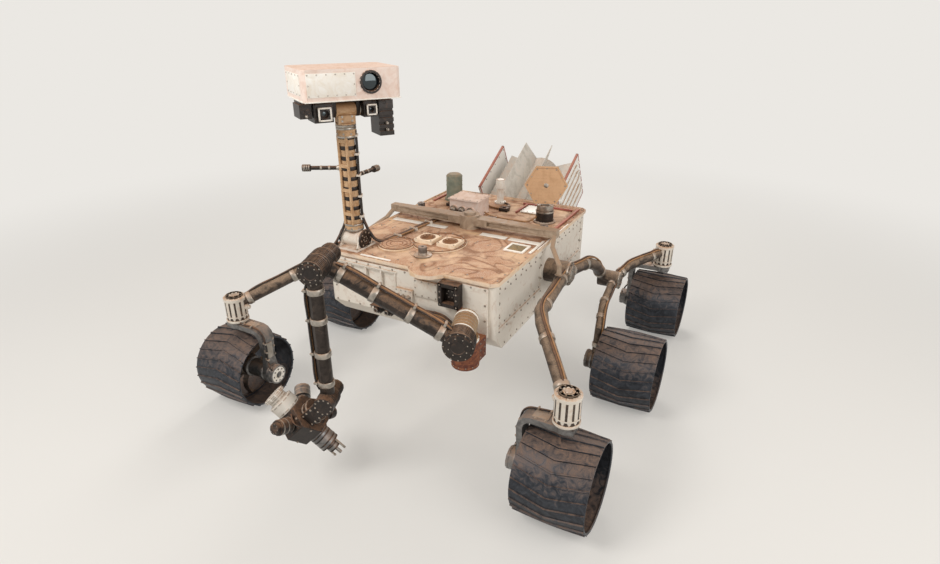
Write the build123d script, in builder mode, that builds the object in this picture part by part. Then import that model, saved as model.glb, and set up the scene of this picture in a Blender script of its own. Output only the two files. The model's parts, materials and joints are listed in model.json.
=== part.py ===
"""Six-wheeled planetary rover, stand-alone solids in millimetres.

Frame: +Z up, ground at z = 0, the rover faces -Y, its port side is +X.
The pieces are drawn about the middle of the chassis and then shifted together,
so that the origin lies on the ground under the middle of the whole outline.
"""

import os
from math import atan, cos, degrees, radians, sin

from build123d import *

os.makedirs("parts", exist_ok=True)

# Running clearance between pieces that move on each other
GAP = 0.3

# Wheels: a crowned rim of flats, one chevron lug on each flat
WHEEL_RADIUS = 250
LUG_HEIGHT = 8
LUG_COUNT = 24
LUG_WIDTH = 9
LUG_SWEEP = 38
WHEEL_WIDTH = 400
WHEEL_CROWN = 9
SKIN = 6
HUB_RADIUS = 78
HUB_INBOARD = -60
HUB_OUTBOARD = 50
SPOKE_COUNT = 8
SPOKE_THICKNESS = 8
SPOKE_WIDTH = 46
SPOKE_BOW = 34
CORNER_TRACK = 1150
MIDDLE_TRACK = 1200
FRONT_WHEEL_Y = -1150
MIDDLE_WHEEL_Y = 30
REAR_WHEEL_Y = 1150
AXLE_Z = WHEEL_RADIUS + LUG_HEIGHT

# Steering and wheel drives
STEER_RADIUS = 66
STEER_BOTTOM_Z = AXLE_Z + 342
STEER_TOP_Z = STEER_BOTTOM_Z + 185
STEER_CAP = 14
BRACKET_RISE = 318
BRACKET_REACH = 233
BRACKET_WIDTH = 104
BRACKET_WAIST = 76
BRACKET_THICKNESS = 34
BRACKET_BEND = 60
DRIVE_RADIUS = 62
DRIVE_OUTER = 300
DRIVE_FLANGE = 16
HOUSING_SIDES = 16
TUBE_SIDES = 12

# Chassis
BODY_HALF_WIDTH = 590
BODY_FRONT_Y = -830
BODY_REAR_Y = 740
BELLY_Z = 640
BELLY_PAN = 12
BODY_CORNER = 24
SIDE_RECESS = 8
DECK_Z = 1080
DECK_THICKNESS = 16
DECK_OVERHANG = 14
DECK_RIM = 10
PANEL_THICKNESS = 14
DECK_TOP_Z = DECK_Z + DECK_THICKNESS
PANEL_FRONT_Y = BODY_FRONT_Y - PANEL_THICKNESS
LEDGE_X = 150
LEDGE_RADIUS = 130

# Suspension
PIVOT_Y = -20
PIVOT_Z = DECK_Z - 190
PIVOT_X = BODY_HALF_WIDTH + 130
PIVOT_RADIUS = 78
ROCKER_TUBE = 38
BOGIE_PIVOT = (PIVOT_X + 180, 590, BELLY_Z)
BOGIE_RADIUS = 62
BOGIE_TUBE = 34
STRUT_TUBE = 25
DIFF_BAR_Z = DECK_TOP_Z + 54
DIFF_BAR_HEIGHT = 52
DROP_LINK = 14
LINK_LUG = (PIVOT_X + 20, PIVOT_Y - 190, PIVOT_Z + ROCKER_TUBE + 26)

# Mast
MAST_X = 120 - BODY_HALF_WIDTH
MAST_Y = BODY_FRONT_Y + 130
MAST_TUBE = 44
MAST_COLLAR = 58
MAST_FOOT_Z = DECK_TOP_Z + 60
MAST_TOP_Z = DECK_TOP_Z + 754
TILT_Z = MAST_TOP_Z + 100
HEAD_FACING = 57
HEAD_HALF_WIDTH = 280
HEAD_BOX_Z = TILT_Z + 70
HEAD_BOX_HEIGHT = 170
HEAD_BOX_DEPTH = 380
YOKE_HALF = 60
YOKE_COLLAR = 26
WINDOW_X = 100
WINDOW_Z = HEAD_BOX_Z + 95
WINDOW_RADIUS = 62
WINDOW_RING = 12
WINDOW_DEPTH = 60

# High-gain dish
DISH_X = BODY_HALF_WIDTH - 170
DISH_Y = BODY_REAR_Y - 410
DISH_Z = DECK_TOP_Z + 284
DISH_FACING = 20
DISH_RADIUS = 150
DISH_THICKNESS = 24

# Arm: every link is drawn along its own X axis, its joints turn about Y
SHOULDER_X = BODY_HALF_WIDTH - 110
SHOULDER_Y = BODY_FRONT_Y - 145
SHOULDER_BASE_Z = DECK_Z - 280
SHOULDER_Z = SHOULDER_BASE_Z + 95
ARM_HEADING = 200
UPPER_RISE = 30
UPPER_LENGTH = 820
FORE_DROP = 90
FORE_LENGTH = 760
WRIST_DROP = 45
TURRET_REACH = 228
TURRET_RADIUS = 120
TURRET_DEPTH = 150
UPPER_PLANE = 200
LINK_HALF = 50
FORE_PLANE = UPPER_PLANE + 2 * LINK_HALF + 5
WRIST_HALF = 40

# Power source at the stern
POWER_Y = BODY_REAR_Y + 140
POWER_Z = DECK_Z - 150
POWER_TILT = 30
POWER_LENGTH = 560
POWER_CORE = 125
POWER_FIN = 310
FIN_COUNT = 8
CRADLE_RADIUS = 100
EXCHANGER_X = 330
EXCHANGER_LENGTH = POWER_LENGTH - 40
EXCHANGER_HEIGHT = 440

# Lifting sockets on the deck
SOCKET_PLACES = ((0, BODY_FRONT_Y + 190), (80 - BODY_HALF_WIDTH, 150), (BODY_HALF_WIDTH - 80, 90))
SOCKET_POST = 26
SOCKET_HEIGHT = 60
SOCKET_BORE = 8
SOCKET_DEPTH = 40

# Antennas and the box of firing circuits on the rear deck
UHF_PLACE = (160 - BODY_HALF_WIDTH, BODY_REAR_Y - 220, DECK_TOP_Z)
UHF_RADIUS = 62
UHF_HEIGHT = 210
LOW_GAIN_X = -60
LOW_GAIN_Y = BODY_REAR_Y - 140
LOW_GAIN_STEM = 120
PYRO_X = -150
PYRO_Y = 250
PYRO_HALF_WIDTH = 115
PYRO_HALF_DEPTH = 95
PYRO_LID_Z = DECK_TOP_Z + 118

pieces = {}


def put(name, built, place=Location()):
    """Keep a finished piece under its name, at its place in the rover."""
    pieces[name] = built.part.moved(place)
    pieces[name].label = name


def strut(points, radius, sides=TUBE_SIDES):
    """A drawn tube of equal flats along straight runs, mitred where they meet."""
    with BuildLine() as path:
        Polyline(*points)
    with BuildSketch(Plane(origin=path.line @ 0, z_dir=path.line % 0)) as section:
        RegularPolygon(radius, sides, major_radius=False)
    sweep(section.sketch, path=path.line, transition=Transition.RIGHT)


def faceted(start, direction, radius, length, sides=HOUSING_SIDES, mode=Mode.ADD):
    """A machined housing of equal flats, as wide across them as a drum of this radius."""
    with BuildSketch(Plane(origin=start, z_dir=direction)) as section:
        RegularPolygon(radius, sides, major_radius=False, rotation=180 / sides)
    extrude(section.sketch, amount=length, mode=mode)


def box(low, high, mode=Mode.ADD):
    """A block between two opposite corners."""
    middle = tuple((a + b) / 2 for a, b in zip(low, high))
    with Locations(middle):
        Box(*(abs(b - a) for a, b in zip(low, high)), mode=mode)


def crowned_drum(radius):
    """A drum of flats along X, widest at its middle and drawn in at both rims."""
    with BuildPart(mode=Mode.PRIVATE) as crowned:
        with BuildSketch(Plane.YZ) as outline:
            RegularPolygon(radius, LUG_COUNT, major_radius=False)
        extrude(outline.sketch, amount=wheel_half)
        flats = crowned.faces().filter_by(Axis.X, reverse=True)
        draft(flats, Plane.YZ, degrees(atan(WHEEL_CROWN / wheel_half)))
        mirror(about=Plane.YZ)
    return crowned.part


# Wheel: crowned rim, chevron lugs, hub and curved flexure spokes, axis along X, outboard +X
wheel_half = WHEEL_WIDTH / 2
with BuildPart() as wheel:
    with BuildSketch(Plane.XY.offset(WHEEL_RADIUS - 2 * WHEEL_CROWN)) as chevron:
        with BuildLine():
            Polyline(
                (-wheel_half, -LUG_SWEEP / 2 - LUG_WIDTH / 2),
                (0, LUG_SWEEP / 2 - LUG_WIDTH / 2),
                (wheel_half, -LUG_SWEEP / 2 - LUG_WIDTH / 2),
                (wheel_half, -LUG_SWEEP / 2 + LUG_WIDTH / 2),
                (0, LUG_SWEEP / 2 + LUG_WIDTH / 2),
                (-wheel_half, -LUG_SWEEP / 2 + LUG_WIDTH / 2),
                close=True,
            )
        make_face()
    lug = extrude(chevron.sketch, amount=4 * WHEEL_CROWN, mode=Mode.PRIVATE)
    for turn in range(LUG_COUNT):
        add(lug.rotate(Axis.X, 360 / LUG_COUNT * (turn + 0.5)))
    add(crowned_drum(WHEEL_RADIUS + LUG_HEIGHT), mode=Mode.INTERSECT)
    add(crowned_drum(WHEEL_RADIUS))
    with BuildSketch(Plane.YZ.offset(-wheel_half)) as bore:
        RegularPolygon(WHEEL_RADIUS - WHEEL_CROWN - SKIN, LUG_COUNT, major_radius=False)
    extrude(bore.sketch, amount=WHEEL_WIDTH, mode=Mode.SUBTRACT)
    spoke_end = WHEEL_RADIUS - WHEEL_CROWN
    with BuildSketch(Plane.YZ.offset(-SPOKE_WIDTH / 2)) as spokes:
        with PolarLocations(0, SPOKE_COUNT):
            with BuildLine():
                Polyline(
                    (HUB_RADIUS - SPOKE_THICKNESS, -SPOKE_THICKNESS / 2),
                    (0.45 * spoke_end, SPOKE_BOW - SPOKE_THICKNESS / 2),
                    (0.78 * spoke_end, SPOKE_BOW - SPOKE_THICKNESS / 2),
                    (spoke_end, -SPOKE_THICKNESS / 2),
                    (spoke_end, SPOKE_THICKNESS / 2),
                    (0.78 * spoke_end, SPOKE_BOW + SPOKE_THICKNESS / 2),
                    (0.45 * spoke_end, SPOKE_BOW + SPOKE_THICKNESS / 2),
                    (HUB_RADIUS - SPOKE_THICKNESS, SPOKE_THICKNESS / 2),
                    close=True,
                )
            make_face()
    extrude(spokes.sketch, amount=SPOKE_WIDTH)
    faceted((HUB_INBOARD + GAP, 0, 0), (1, 0, 0), HUB_RADIUS, HUB_OUTBOARD - HUB_INBOARD - GAP, 12)

# name, across, along, turned
wheel_places = (
    ("front_left", CORNER_TRACK, FRONT_WHEEL_Y, 0),
    ("front_right", -CORNER_TRACK, FRONT_WHEEL_Y, 180),
    ("middle_left", MIDDLE_TRACK, MIDDLE_WHEEL_Y, 0),
    ("middle_right", -MIDDLE_TRACK, MIDDLE_WHEEL_Y, 180),
    ("rear_left", CORNER_TRACK, REAR_WHEEL_Y, 0),
    ("rear_right", -CORNER_TRACK, REAR_WHEEL_Y, 180),
)
for corner, across, along, turned in wheel_places:
    put("wheel_" + corner, wheel, Location((across, along, AXLE_Z), (0, 0, turned)))

# Steering knuckle: bent and waisted bracket over the wheel, and the drive in its hub
bracket_top = BRACKET_RISE + BRACKET_THICKNESS / 2
bracket_out = -BRACKET_REACH - BRACKET_THICKNESS / 2
bend_out = BRACKET_BEND + BRACKET_THICKNESS / 2
bend_in = BRACKET_BEND - BRACKET_THICKNESS / 2
bend_middle = (bracket_out + bend_out, bracket_top - bend_out)


def bend(radius, turns):
    """Points of the bracket's bend at a radius, by angle up from the upright leg."""
    return [
        (bend_middle[0] - radius * cos(radians(turn)), bend_middle[1] + radius * sin(radians(turn)))
        for turn in turns
    ]


with BuildPart() as knuckle:
    with BuildSketch(Plane.XZ) as bracket_side:
        with BuildLine():
            Polyline(
                (STEER_RADIUS - 10, bracket_top - BRACKET_THICKNESS),
                (STEER_RADIUS - 10, bracket_top),
                *bend(bend_out, (90, 60, 30, 0)),
                (bracket_out, -DRIVE_RADIUS),
                (bracket_out + BRACKET_THICKNESS, -DRIVE_RADIUS),
                *bend(bend_in, (0, 30, 60, 90)),
                close=True,
            )
        make_face()
    extrude(bracket_side.sketch, amount=BRACKET_WIDTH / 2, both=True)
    with BuildSketch(Plane.YZ) as bracket_front:
        with BuildLine():
            Polyline(
                (BRACKET_WIDTH / 2, bracket_top),
                (BRACKET_WIDTH / 2, bracket_top - bend_out),
                (BRACKET_WAIST / 2, DRIVE_RADIUS + 60),
                (BRACKET_WIDTH / 2, DRIVE_RADIUS / 2),
                (BRACKET_WIDTH / 2, -DRIVE_RADIUS / 2),
                (BRACKET_WAIST / 2, -DRIVE_RADIUS),
                (-BRACKET_WAIST / 2, -DRIVE_RADIUS),
                (-BRACKET_WIDTH / 2, -DRIVE_RADIUS / 2),
                (-BRACKET_WIDTH / 2, DRIVE_RADIUS / 2),
                (-BRACKET_WAIST / 2, DRIVE_RADIUS + 60),
                (-BRACKET_WIDTH / 2, bracket_top - bend_out),
                (-BRACKET_WIDTH / 2, bracket_top),
                close=True,
            )
        make_face()
    extrude(bracket_front.sketch, amount=-2 * BRACKET_REACH, both=True, mode=Mode.INTERSECT)
    faceted((0, 0, bracket_top - BRACKET_THICKNESS), (0, 0, 1), STEER_RADIUS - 8,
            STEER_BOTTOM_Z - AXLE_Z - bracket_top + BRACKET_THICKNESS - GAP, 12)
    faceted((-DRIVE_OUTER + DRIVE_FLANGE, 0, 0), (1, 0, 0), DRIVE_RADIUS - 8,
            DRIVE_OUTER - DRIVE_FLANGE + HUB_INBOARD, 12)
    faceted((-DRIVE_OUTER, 0, 0), (1, 0, 0), DRIVE_RADIUS, DRIVE_OUTER + bracket_out, 12)

for corner, across, along, turned in wheel_places:
    if not corner.startswith("middle"):
        put("knuckle_" + corner, knuckle, Location((across, along, AXLE_Z), (0, 0, turned)))


def steering_housing(x, y):
    """Upright steering drive: round body, and a raised ring on its cap."""
    faceted((x, y, STEER_BOTTOM_Z), (0, 0, 1), STEER_RADIUS,
            STEER_TOP_Z - STEER_BOTTOM_Z - STEER_CAP, 12)
    faceted((x, y, STEER_TOP_Z - STEER_CAP), (0, 0, 1), STEER_RADIUS - 14, STEER_CAP, 12)
    faceted((x, y, STEER_TOP_Z), (0, 0, -1), STEER_RADIUS - 34, STEER_CAP / 2, 8,
            mode=Mode.SUBTRACT)


# Suspension, one set a side: rocker with the front steering housing, bogie with the rear one
for side, hand in (("left", 1), ("right", -1)):
    with BuildPart() as rocker:
        faceted((hand * BODY_HALF_WIDTH, PIVOT_Y, PIVOT_Z), (hand, 0, 0), PIVOT_RADIUS,
                PIVOT_X + ROCKER_TUBE - BODY_HALF_WIDTH, 20)
        faceted((hand * (PIVOT_X + ROCKER_TUBE), PIVOT_Y, PIVOT_Z), (hand, 0, 0),
                PIVOT_RADIUS - 24, STEER_CAP, 12)
        strut(
            (
                (hand * PIVOT_X, PIVOT_Y, PIVOT_Z),
                (hand * (PIVOT_X + 70), FRONT_WHEEL_Y + 520, PIVOT_Z + 10),
                (hand * (PIVOT_X + 130), FRONT_WHEEL_Y + 390, PIVOT_Z),
                (hand * (CORNER_TRACK - 20), FRONT_WHEEL_Y + 20, STEER_TOP_Z - 62),
            ),
            ROCKER_TUBE,
        )
        strut(
            (
                (hand * PIVOT_X, PIVOT_Y, PIVOT_Z),
                (hand * (PIVOT_X + 55), BOGIE_PIVOT[1] - 300, PIVOT_Z - 30),
                (hand * (PIVOT_X + 85), BOGIE_PIVOT[1] - 190, PIVOT_Z - 85),
                (hand * (BOGIE_PIVOT[0] - 80), BOGIE_PIVOT[1], BOGIE_PIVOT[2]),
            ),
            ROCKER_TUBE,
        )
        faceted((hand * (BOGIE_PIVOT[0] - 110), BOGIE_PIVOT[1], BOGIE_PIVOT[2]), (hand, 0, 0),
                BOGIE_RADIUS, 75)
        steering_housing(hand * CORNER_TRACK, FRONT_WHEEL_Y)
        faceted((hand * LINK_LUG[0], LINK_LUG[1], PIVOT_Z), (0, 0, 1), DROP_LINK + 12,
                LINK_LUG[2] - PIVOT_Z, 8)
    put("rocker_" + side, rocker)

    strut_x = MIDDLE_TRACK - DRIVE_OUTER + 60
    with BuildPart() as bogie:
        faceted((hand * (BOGIE_PIVOT[0] - 35), BOGIE_PIVOT[1], BOGIE_PIVOT[2]), (hand, 0, 0),
                BOGIE_RADIUS, 80)
        strut(
            (
                (hand * BOGIE_PIVOT[0], BOGIE_PIVOT[1], BOGIE_PIVOT[2]),
                (hand * (CORNER_TRACK - 190), REAR_WHEEL_Y - 380, STEER_TOP_Z - 90),
                (hand * (CORNER_TRACK - 130), REAR_WHEEL_Y - 270, STEER_TOP_Z - 75),
                (hand * (CORNER_TRACK - 15), REAR_WHEEL_Y - 15, STEER_TOP_Z - 75),
            ),
            BOGIE_TUBE,
        )
        strut(
            (
                (hand * BOGIE_PIVOT[0], BOGIE_PIVOT[1], BOGIE_PIVOT[2]),
                (hand * (strut_x - 30), MIDDLE_WHEEL_Y + 190, BOGIE_PIVOT[2] - 45),
                (hand * strut_x, MIDDLE_WHEEL_Y + 30, BOGIE_PIVOT[2] - 150),
                (hand * strut_x, MIDDLE_WHEEL_Y, AXLE_Z),
            ),
            STRUT_TUBE,
        )
        faceted((hand * (MIDDLE_TRACK - DRIVE_OUTER), MIDDLE_WHEEL_Y, AXLE_Z), (hand, 0, 0),
                DRIVE_RADIUS, DRIVE_OUTER + bracket_out + 2 * BRACKET_THICKNESS)
        faceted((hand * (MIDDLE_TRACK + HUB_INBOARD), MIDDLE_WHEEL_Y, AXLE_Z), (-hand, 0, 0),
                DRIVE_RADIUS - 8, DRIVE_OUTER + HUB_INBOARD - DRIVE_FLANGE)
        steering_housing(hand * CORNER_TRACK, REAR_WHEEL_Y)
    put("bogie_" + side, bogie)

# Chassis: warm box with sloped nose and stern, recessed side bays and a belly pan
# bay: from and to along Y
side_bays = ((BODY_FRONT_Y + 60, PIVOT_Y - 110), (PIVOT_Y + 110, BODY_REAR_Y - 60))
with BuildPart() as chassis:
    with BuildSketch(Plane.YZ) as body_side:
        with BuildLine():
            Polyline(
                (BODY_FRONT_Y, DECK_Z),
                (BODY_FRONT_Y, BELLY_Z + 110),
                (BODY_FRONT_Y + 110, BELLY_Z),
                (BODY_REAR_Y - 60, BELLY_Z),
                (BODY_REAR_Y, BELLY_Z + 60),
                (BODY_REAR_Y, DECK_Z),
                close=True,
            )
        make_face()
    extrude(body_side.sketch, amount=BODY_HALF_WIDTH, both=True)
    fillet(chassis.edges().filter_by(Axis.Z), radius=BODY_CORNER)
    for hand in (1, -1):
        for bay_from, bay_to in side_bays:
            box(
                (hand * (BODY_HALF_WIDTH - SIDE_RECESS), bay_from, BELLY_Z + 150),
                (hand * (BODY_HALF_WIDTH + SIDE_RECESS), bay_to, DECK_Z - 50),
                mode=Mode.SUBTRACT,
            )
    box(
        (100 - BODY_HALF_WIDTH, BODY_FRONT_Y + 180, BELLY_Z - BELLY_PAN),
        (BODY_HALF_WIDTH - 100, BODY_REAR_Y - 140, BELLY_Z),
    )
put("chassis", chassis)

# Top deck: plate with cut corners, a rounded ledge at the front and a raised rim
with BuildPart() as top_deck:
    with BuildSketch(Plane.XY.offset(DECK_Z)) as deck_outline:
        with Locations((0, (BODY_FRONT_Y + BODY_REAR_Y) / 2)):
            Rectangle(
                2 * (BODY_HALF_WIDTH + DECK_OVERHANG),
                BODY_REAR_Y - BODY_FRONT_Y + 2 * DECK_OVERHANG,
            )
        chamfer(deck_outline.vertices(), length=36)
        with Locations((LEDGE_X, BODY_FRONT_Y + 40)):
            RegularPolygon(LEDGE_RADIUS, 12, major_radius=False)
    extrude(deck_outline.sketch, amount=DECK_THICKNESS)
    with BuildSketch(Plane.XY.offset(DECK_TOP_Z)) as rim:
        add(deck_outline.sketch.moved(Location((0, 0, DECK_THICKNESS))))
        offset(deck_outline.sketch.moved(Location((0, 0, DECK_THICKNESS))), amount=-DECK_RIM,
               kind=Kind.INTERSECTION, mode=Mode.SUBTRACT)
    extrude(rim.sketch, amount=DECK_RIM)
    for seam_y in (PIVOT_Y - 260, PIVOT_Y + 230):
        box((30 - BODY_HALF_WIDTH, seam_y - 3, DECK_TOP_Z - 4),
            (BODY_HALF_WIDTH - 30, seam_y + 3, DECK_TOP_Z), mode=Mode.SUBTRACT)
put("top_deck", top_deck)

with BuildPart() as front_panel:
    with BuildSketch(Plane.XZ.offset(-BODY_FRONT_Y)) as panel_face:
        with Locations((0, (DECK_Z + BELLY_Z + 110) / 2)):
            Rectangle(2 * BODY_HALF_WIDTH - 80, DECK_Z - BELLY_Z - 130)
        with Locations((-BODY_HALF_WIDTH / 2, DECK_Z - 110)):
            Rectangle(BODY_HALF_WIDTH - 130, 120, mode=Mode.SUBTRACT)
    extrude(panel_face.sketch, amount=PANEL_THICKNESS)
put("front_panel", front_panel)

# Differential: tapered bar on a centre pivot, with a drop link to each rocker
bar_end = PIVOT_X - 70
with BuildPart() as differential_bar:
    with BuildSketch(Plane.XY.offset(DIFF_BAR_Z - DIFF_BAR_HEIGHT / 2)) as bar_plan:
        with BuildLine():
            Polyline(
                (-bar_end, PIVOT_Y - 28),
                (-110, PIVOT_Y - 48),
                (110, PIVOT_Y - 48),
                (bar_end, PIVOT_Y - 28),
                (bar_end, PIVOT_Y + 28),
                (110, PIVOT_Y + 48),
                (-110, PIVOT_Y + 48),
                (-bar_end, PIVOT_Y + 28),
                close=True,
            )
        make_face()
    extrude(bar_plan.sketch, amount=DIFF_BAR_HEIGHT)
    for hand in (1, -1):
        for face_y in (PIVOT_Y - 48, PIVOT_Y + 48):
            box((hand * 150, face_y - 22, DIFF_BAR_Z - 16),
                (hand * (bar_end - 50), face_y + 22, DIFF_BAR_Z + 16), mode=Mode.SUBTRACT)
        strut(
            (
                (hand * (bar_end - 20), PIVOT_Y, DIFF_BAR_Z),
                (hand * bar_end, PIVOT_Y - 90, DIFF_BAR_Z - 60),
                (hand * LINK_LUG[0], LINK_LUG[1], LINK_LUG[2] + 60),
                (hand * LINK_LUG[0], LINK_LUG[1], LINK_LUG[2] + GAP),
            ),
            DROP_LINK,
            8,
        )
    faceted((0, PIVOT_Y, DECK_TOP_Z), (0, 0, 1), 70, DIFF_BAR_Z - DECK_TOP_Z + 40, 12)
    faceted((0, PIVOT_Y, DIFF_BAR_Z + 40), (0, 0, 1), 40, 16, 12)
put("differential_bar", differential_bar)

# Mast: foot on the deck, tube with its cable rails, head yoke, camera head
mast_run_z = MAST_FOOT_Z + 56
with BuildPart() as mast_base:
    box((MAST_X - 85, MAST_Y - 95, DECK_TOP_Z), (MAST_X + 85, MAST_Y + 95, DECK_TOP_Z + 14))
    for hand in (1, -1):
        with BuildSketch(Plane.YZ.offset(MAST_X + hand * 62)) as cheek:
            with BuildLine():
                Polyline(
                    (MAST_Y - 80, DECK_TOP_Z + 10),
                    (MAST_Y + 80, DECK_TOP_Z + 10),
                    (MAST_Y + 40, MAST_FOOT_Z + 30),
                    (MAST_Y - 40, MAST_FOOT_Z + 30),
                    close=True,
                )
            make_face()
        extrude(cheek.sketch, amount=hand * 10)
    faceted((MAST_X - 75, MAST_Y, MAST_FOOT_Z), (1, 0, 0), 56, 150)
put("mast_base", mast_base)

# rail: to the side of the tube, forward of it
rail_places = ((-30, -52), (30, -52))
with BuildPart() as mast_tube:
    faceted((MAST_X, MAST_Y, mast_run_z), (0, 0, 1), MAST_TUBE, MAST_TOP_Z - mast_run_z,
            TUBE_SIDES)
    faceted((MAST_X, MAST_Y, mast_run_z), (0, 0, 1), MAST_COLLAR, 46)
    faceted((MAST_X, MAST_Y, MAST_TOP_Z - 60), (0, 0, 1), MAST_COLLAR, 60)
    for side_x, ahead in rail_places:
        box((MAST_X + side_x - 6, MAST_Y + ahead, mast_run_z + 40),
            (MAST_X + side_x + 6, MAST_Y + ahead + 14, MAST_TOP_Z - 50))
    for rung in range(4):
        rung_z = mast_run_z + 100 + rung * 150
        box((MAST_X - 24, MAST_Y - 50, rung_z), (MAST_X + 24, MAST_Y, rung_z + 22))
put("mast_tube", mast_tube)

# boom: depth below the top of the tube, heading from +X
boom_table = ((245, 210), (305, 90))
with BuildPart() as sensor_booms:
    for below, heading in boom_table:
        run = (cos(radians(heading)), sin(radians(heading)), 0)
        root = (MAST_X + run[0] * MAST_TUBE, MAST_Y + run[1] * MAST_TUBE, MAST_TOP_Z - below)
        faceted(root, run, 12, 200, 8)
        tip = tuple(start + 190 * step for start, step in zip(root, run))
        faceted(tip, run, 20, 50, 8)
put("sensor_booms", sensor_booms)

head_place = Location((MAST_X, MAST_Y, 0), (0, 0, HEAD_FACING))
with BuildPart() as head_yoke:
    faceted((0, 0, MAST_TOP_Z + GAP), (0, 0, 1), MAST_COLLAR, YOKE_COLLAR)
    box((-YOKE_HALF + 8, -38, MAST_TOP_Z + 20), (YOKE_HALF - 8, 38, TILT_Z - 30))
    faceted((-YOKE_HALF, 0, TILT_Z), (1, 0, 0), 42, 2 * YOKE_HALF)
put("head_yoke", head_yoke, head_place)

# camera block: from and to across, from and to along, depth below the bar
camera_blocks = (
    (-280, -212, -80, 60, 78),
    (-205, -95, -95, 55, 104),
    (88, 168, -90, 55, 90),
    (178, 268, -95, 60, 205),
)
# camera eye: across, drop below the bar, half the hood's width, face along
camera_eyes = ((-150, 54, 30, -95), (128, 46, 22, -90))
with BuildPart() as camera_bar:
    for hand in (1, -1):
        with BuildSketch(Plane.YZ.offset(hand * (YOKE_HALF + GAP))) as ear:
            with BuildLine():
                Polyline((-45, HEAD_BOX_Z - 10), (45, HEAD_BOX_Z - 10), (45, TILT_Z),
                         (22, TILT_Z - 40), (-22, TILT_Z - 40), (-45, TILT_Z), close=True)
            make_face()
        extrude(ear.sketch, amount=hand * 22)
    box((10 - HEAD_HALF_WIDTH, -65, HEAD_BOX_Z - 20), (HEAD_HALF_WIDTH - 10, 65, HEAD_BOX_Z))
    for left, right, front, back, low in camera_blocks:
        box((left, front, HEAD_BOX_Z - 20 - low), (right, back, HEAD_BOX_Z - 20))
    for across, drop, half, face in camera_eyes:
        box((across - half, face - 24, HEAD_BOX_Z - 20 - drop - half),
            (across + half, face, HEAD_BOX_Z - 20 - drop + half))
        faceted((across, face - 24, HEAD_BOX_Z - 20 - drop), (0, 1, 0), half - 8, 20, 12,
                mode=Mode.SUBTRACT)
    rib_left, rib_right, rib_front, *_ = camera_blocks[-1]
    for slot in range(4):
        slot_z = HEAD_BOX_Z - 70 - slot * 38
        box((rib_left, rib_front - 5, slot_z - 14), (rib_right, rib_front + 12, slot_z),
            mode=Mode.SUBTRACT)
put("camera_bar", camera_bar, head_place)

head_front = -HEAD_BOX_DEPTH / 2 - 10
with BuildPart() as telescope_box:
    box((-HEAD_HALF_WIDTH, head_front, HEAD_BOX_Z),
        (HEAD_HALF_WIDTH, head_front + HEAD_BOX_DEPTH, HEAD_BOX_Z + HEAD_BOX_HEIGHT))
    chamfer(telescope_box.edges().filter_by(Axis.Z), length=20)
    faceted((WINDOW_X, head_front - WINDOW_RING, WINDOW_Z), (0, 1, 0), WINDOW_RADIUS,
            WINDOW_RING + 2)
    faceted((WINDOW_X, head_front - WINDOW_RING, WINDOW_Z), (0, 1, 0),
            WINDOW_RADIUS - WINDOW_RING, WINDOW_DEPTH, mode=Mode.SUBTRACT)
put("telescope_box", telescope_box, head_place)

# High-gain dish on its two-axis gimbal
dish_place = Location((DISH_X, DISH_Y, 0), (0, 0, DISH_FACING))
gimbal_z = DECK_TOP_Z + 90
with BuildPart() as dish_base:
    faceted((DISH_X, DISH_Y, DECK_TOP_Z), (0, 0, 1), 76, 12, 12)
    faceted((DISH_X, DISH_Y, DECK_TOP_Z), (0, 0, 1), 62, gimbal_z - DECK_TOP_Z)
put("dish_base", dish_base)

with BuildPart() as dish_gimbal:
    faceted((0, 0, gimbal_z + GAP), (0, 0, 1), 56, 40)
    box((-30, -30, gimbal_z + 30), (30, 30, DISH_Z))
    faceted((-50, 0, DISH_Z), (1, 0, 0), 30, 100)
put("dish_gimbal", dish_gimbal, dish_place)

with BuildPart() as dish:
    for hand in (1, -1):
        box((hand * (50 + GAP), -74, DISH_Z - 25), (hand * (64 + GAP), 30, DISH_Z + 25))
    with BuildSketch(Plane.XZ.offset(50)) as plate:
        with Locations((0, DISH_Z)):
            RegularPolygon(DISH_RADIUS, 6)
    extrude(plate.sketch, amount=DISH_THICKNESS)
    with BuildSketch(Plane.XZ.offset(50 + DISH_THICKNESS)) as plate_face:
        with Locations((0, DISH_Z)):
            RegularPolygon(DISH_RADIUS - 10, 6)
    extrude(plate_face.sketch, amount=-5, mode=Mode.SUBTRACT)
    with BuildSketch(Plane.XZ.offset(36)) as back_web:
        with Locations((0, DISH_Z)):
            RegularPolygon(DISH_RADIUS - 30, 6)
            RegularPolygon(DISH_RADIUS - 42, 6, mode=Mode.SUBTRACT)
    extrude(back_web.sketch, amount=16)
put("dish", dish, dish_place)

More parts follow.
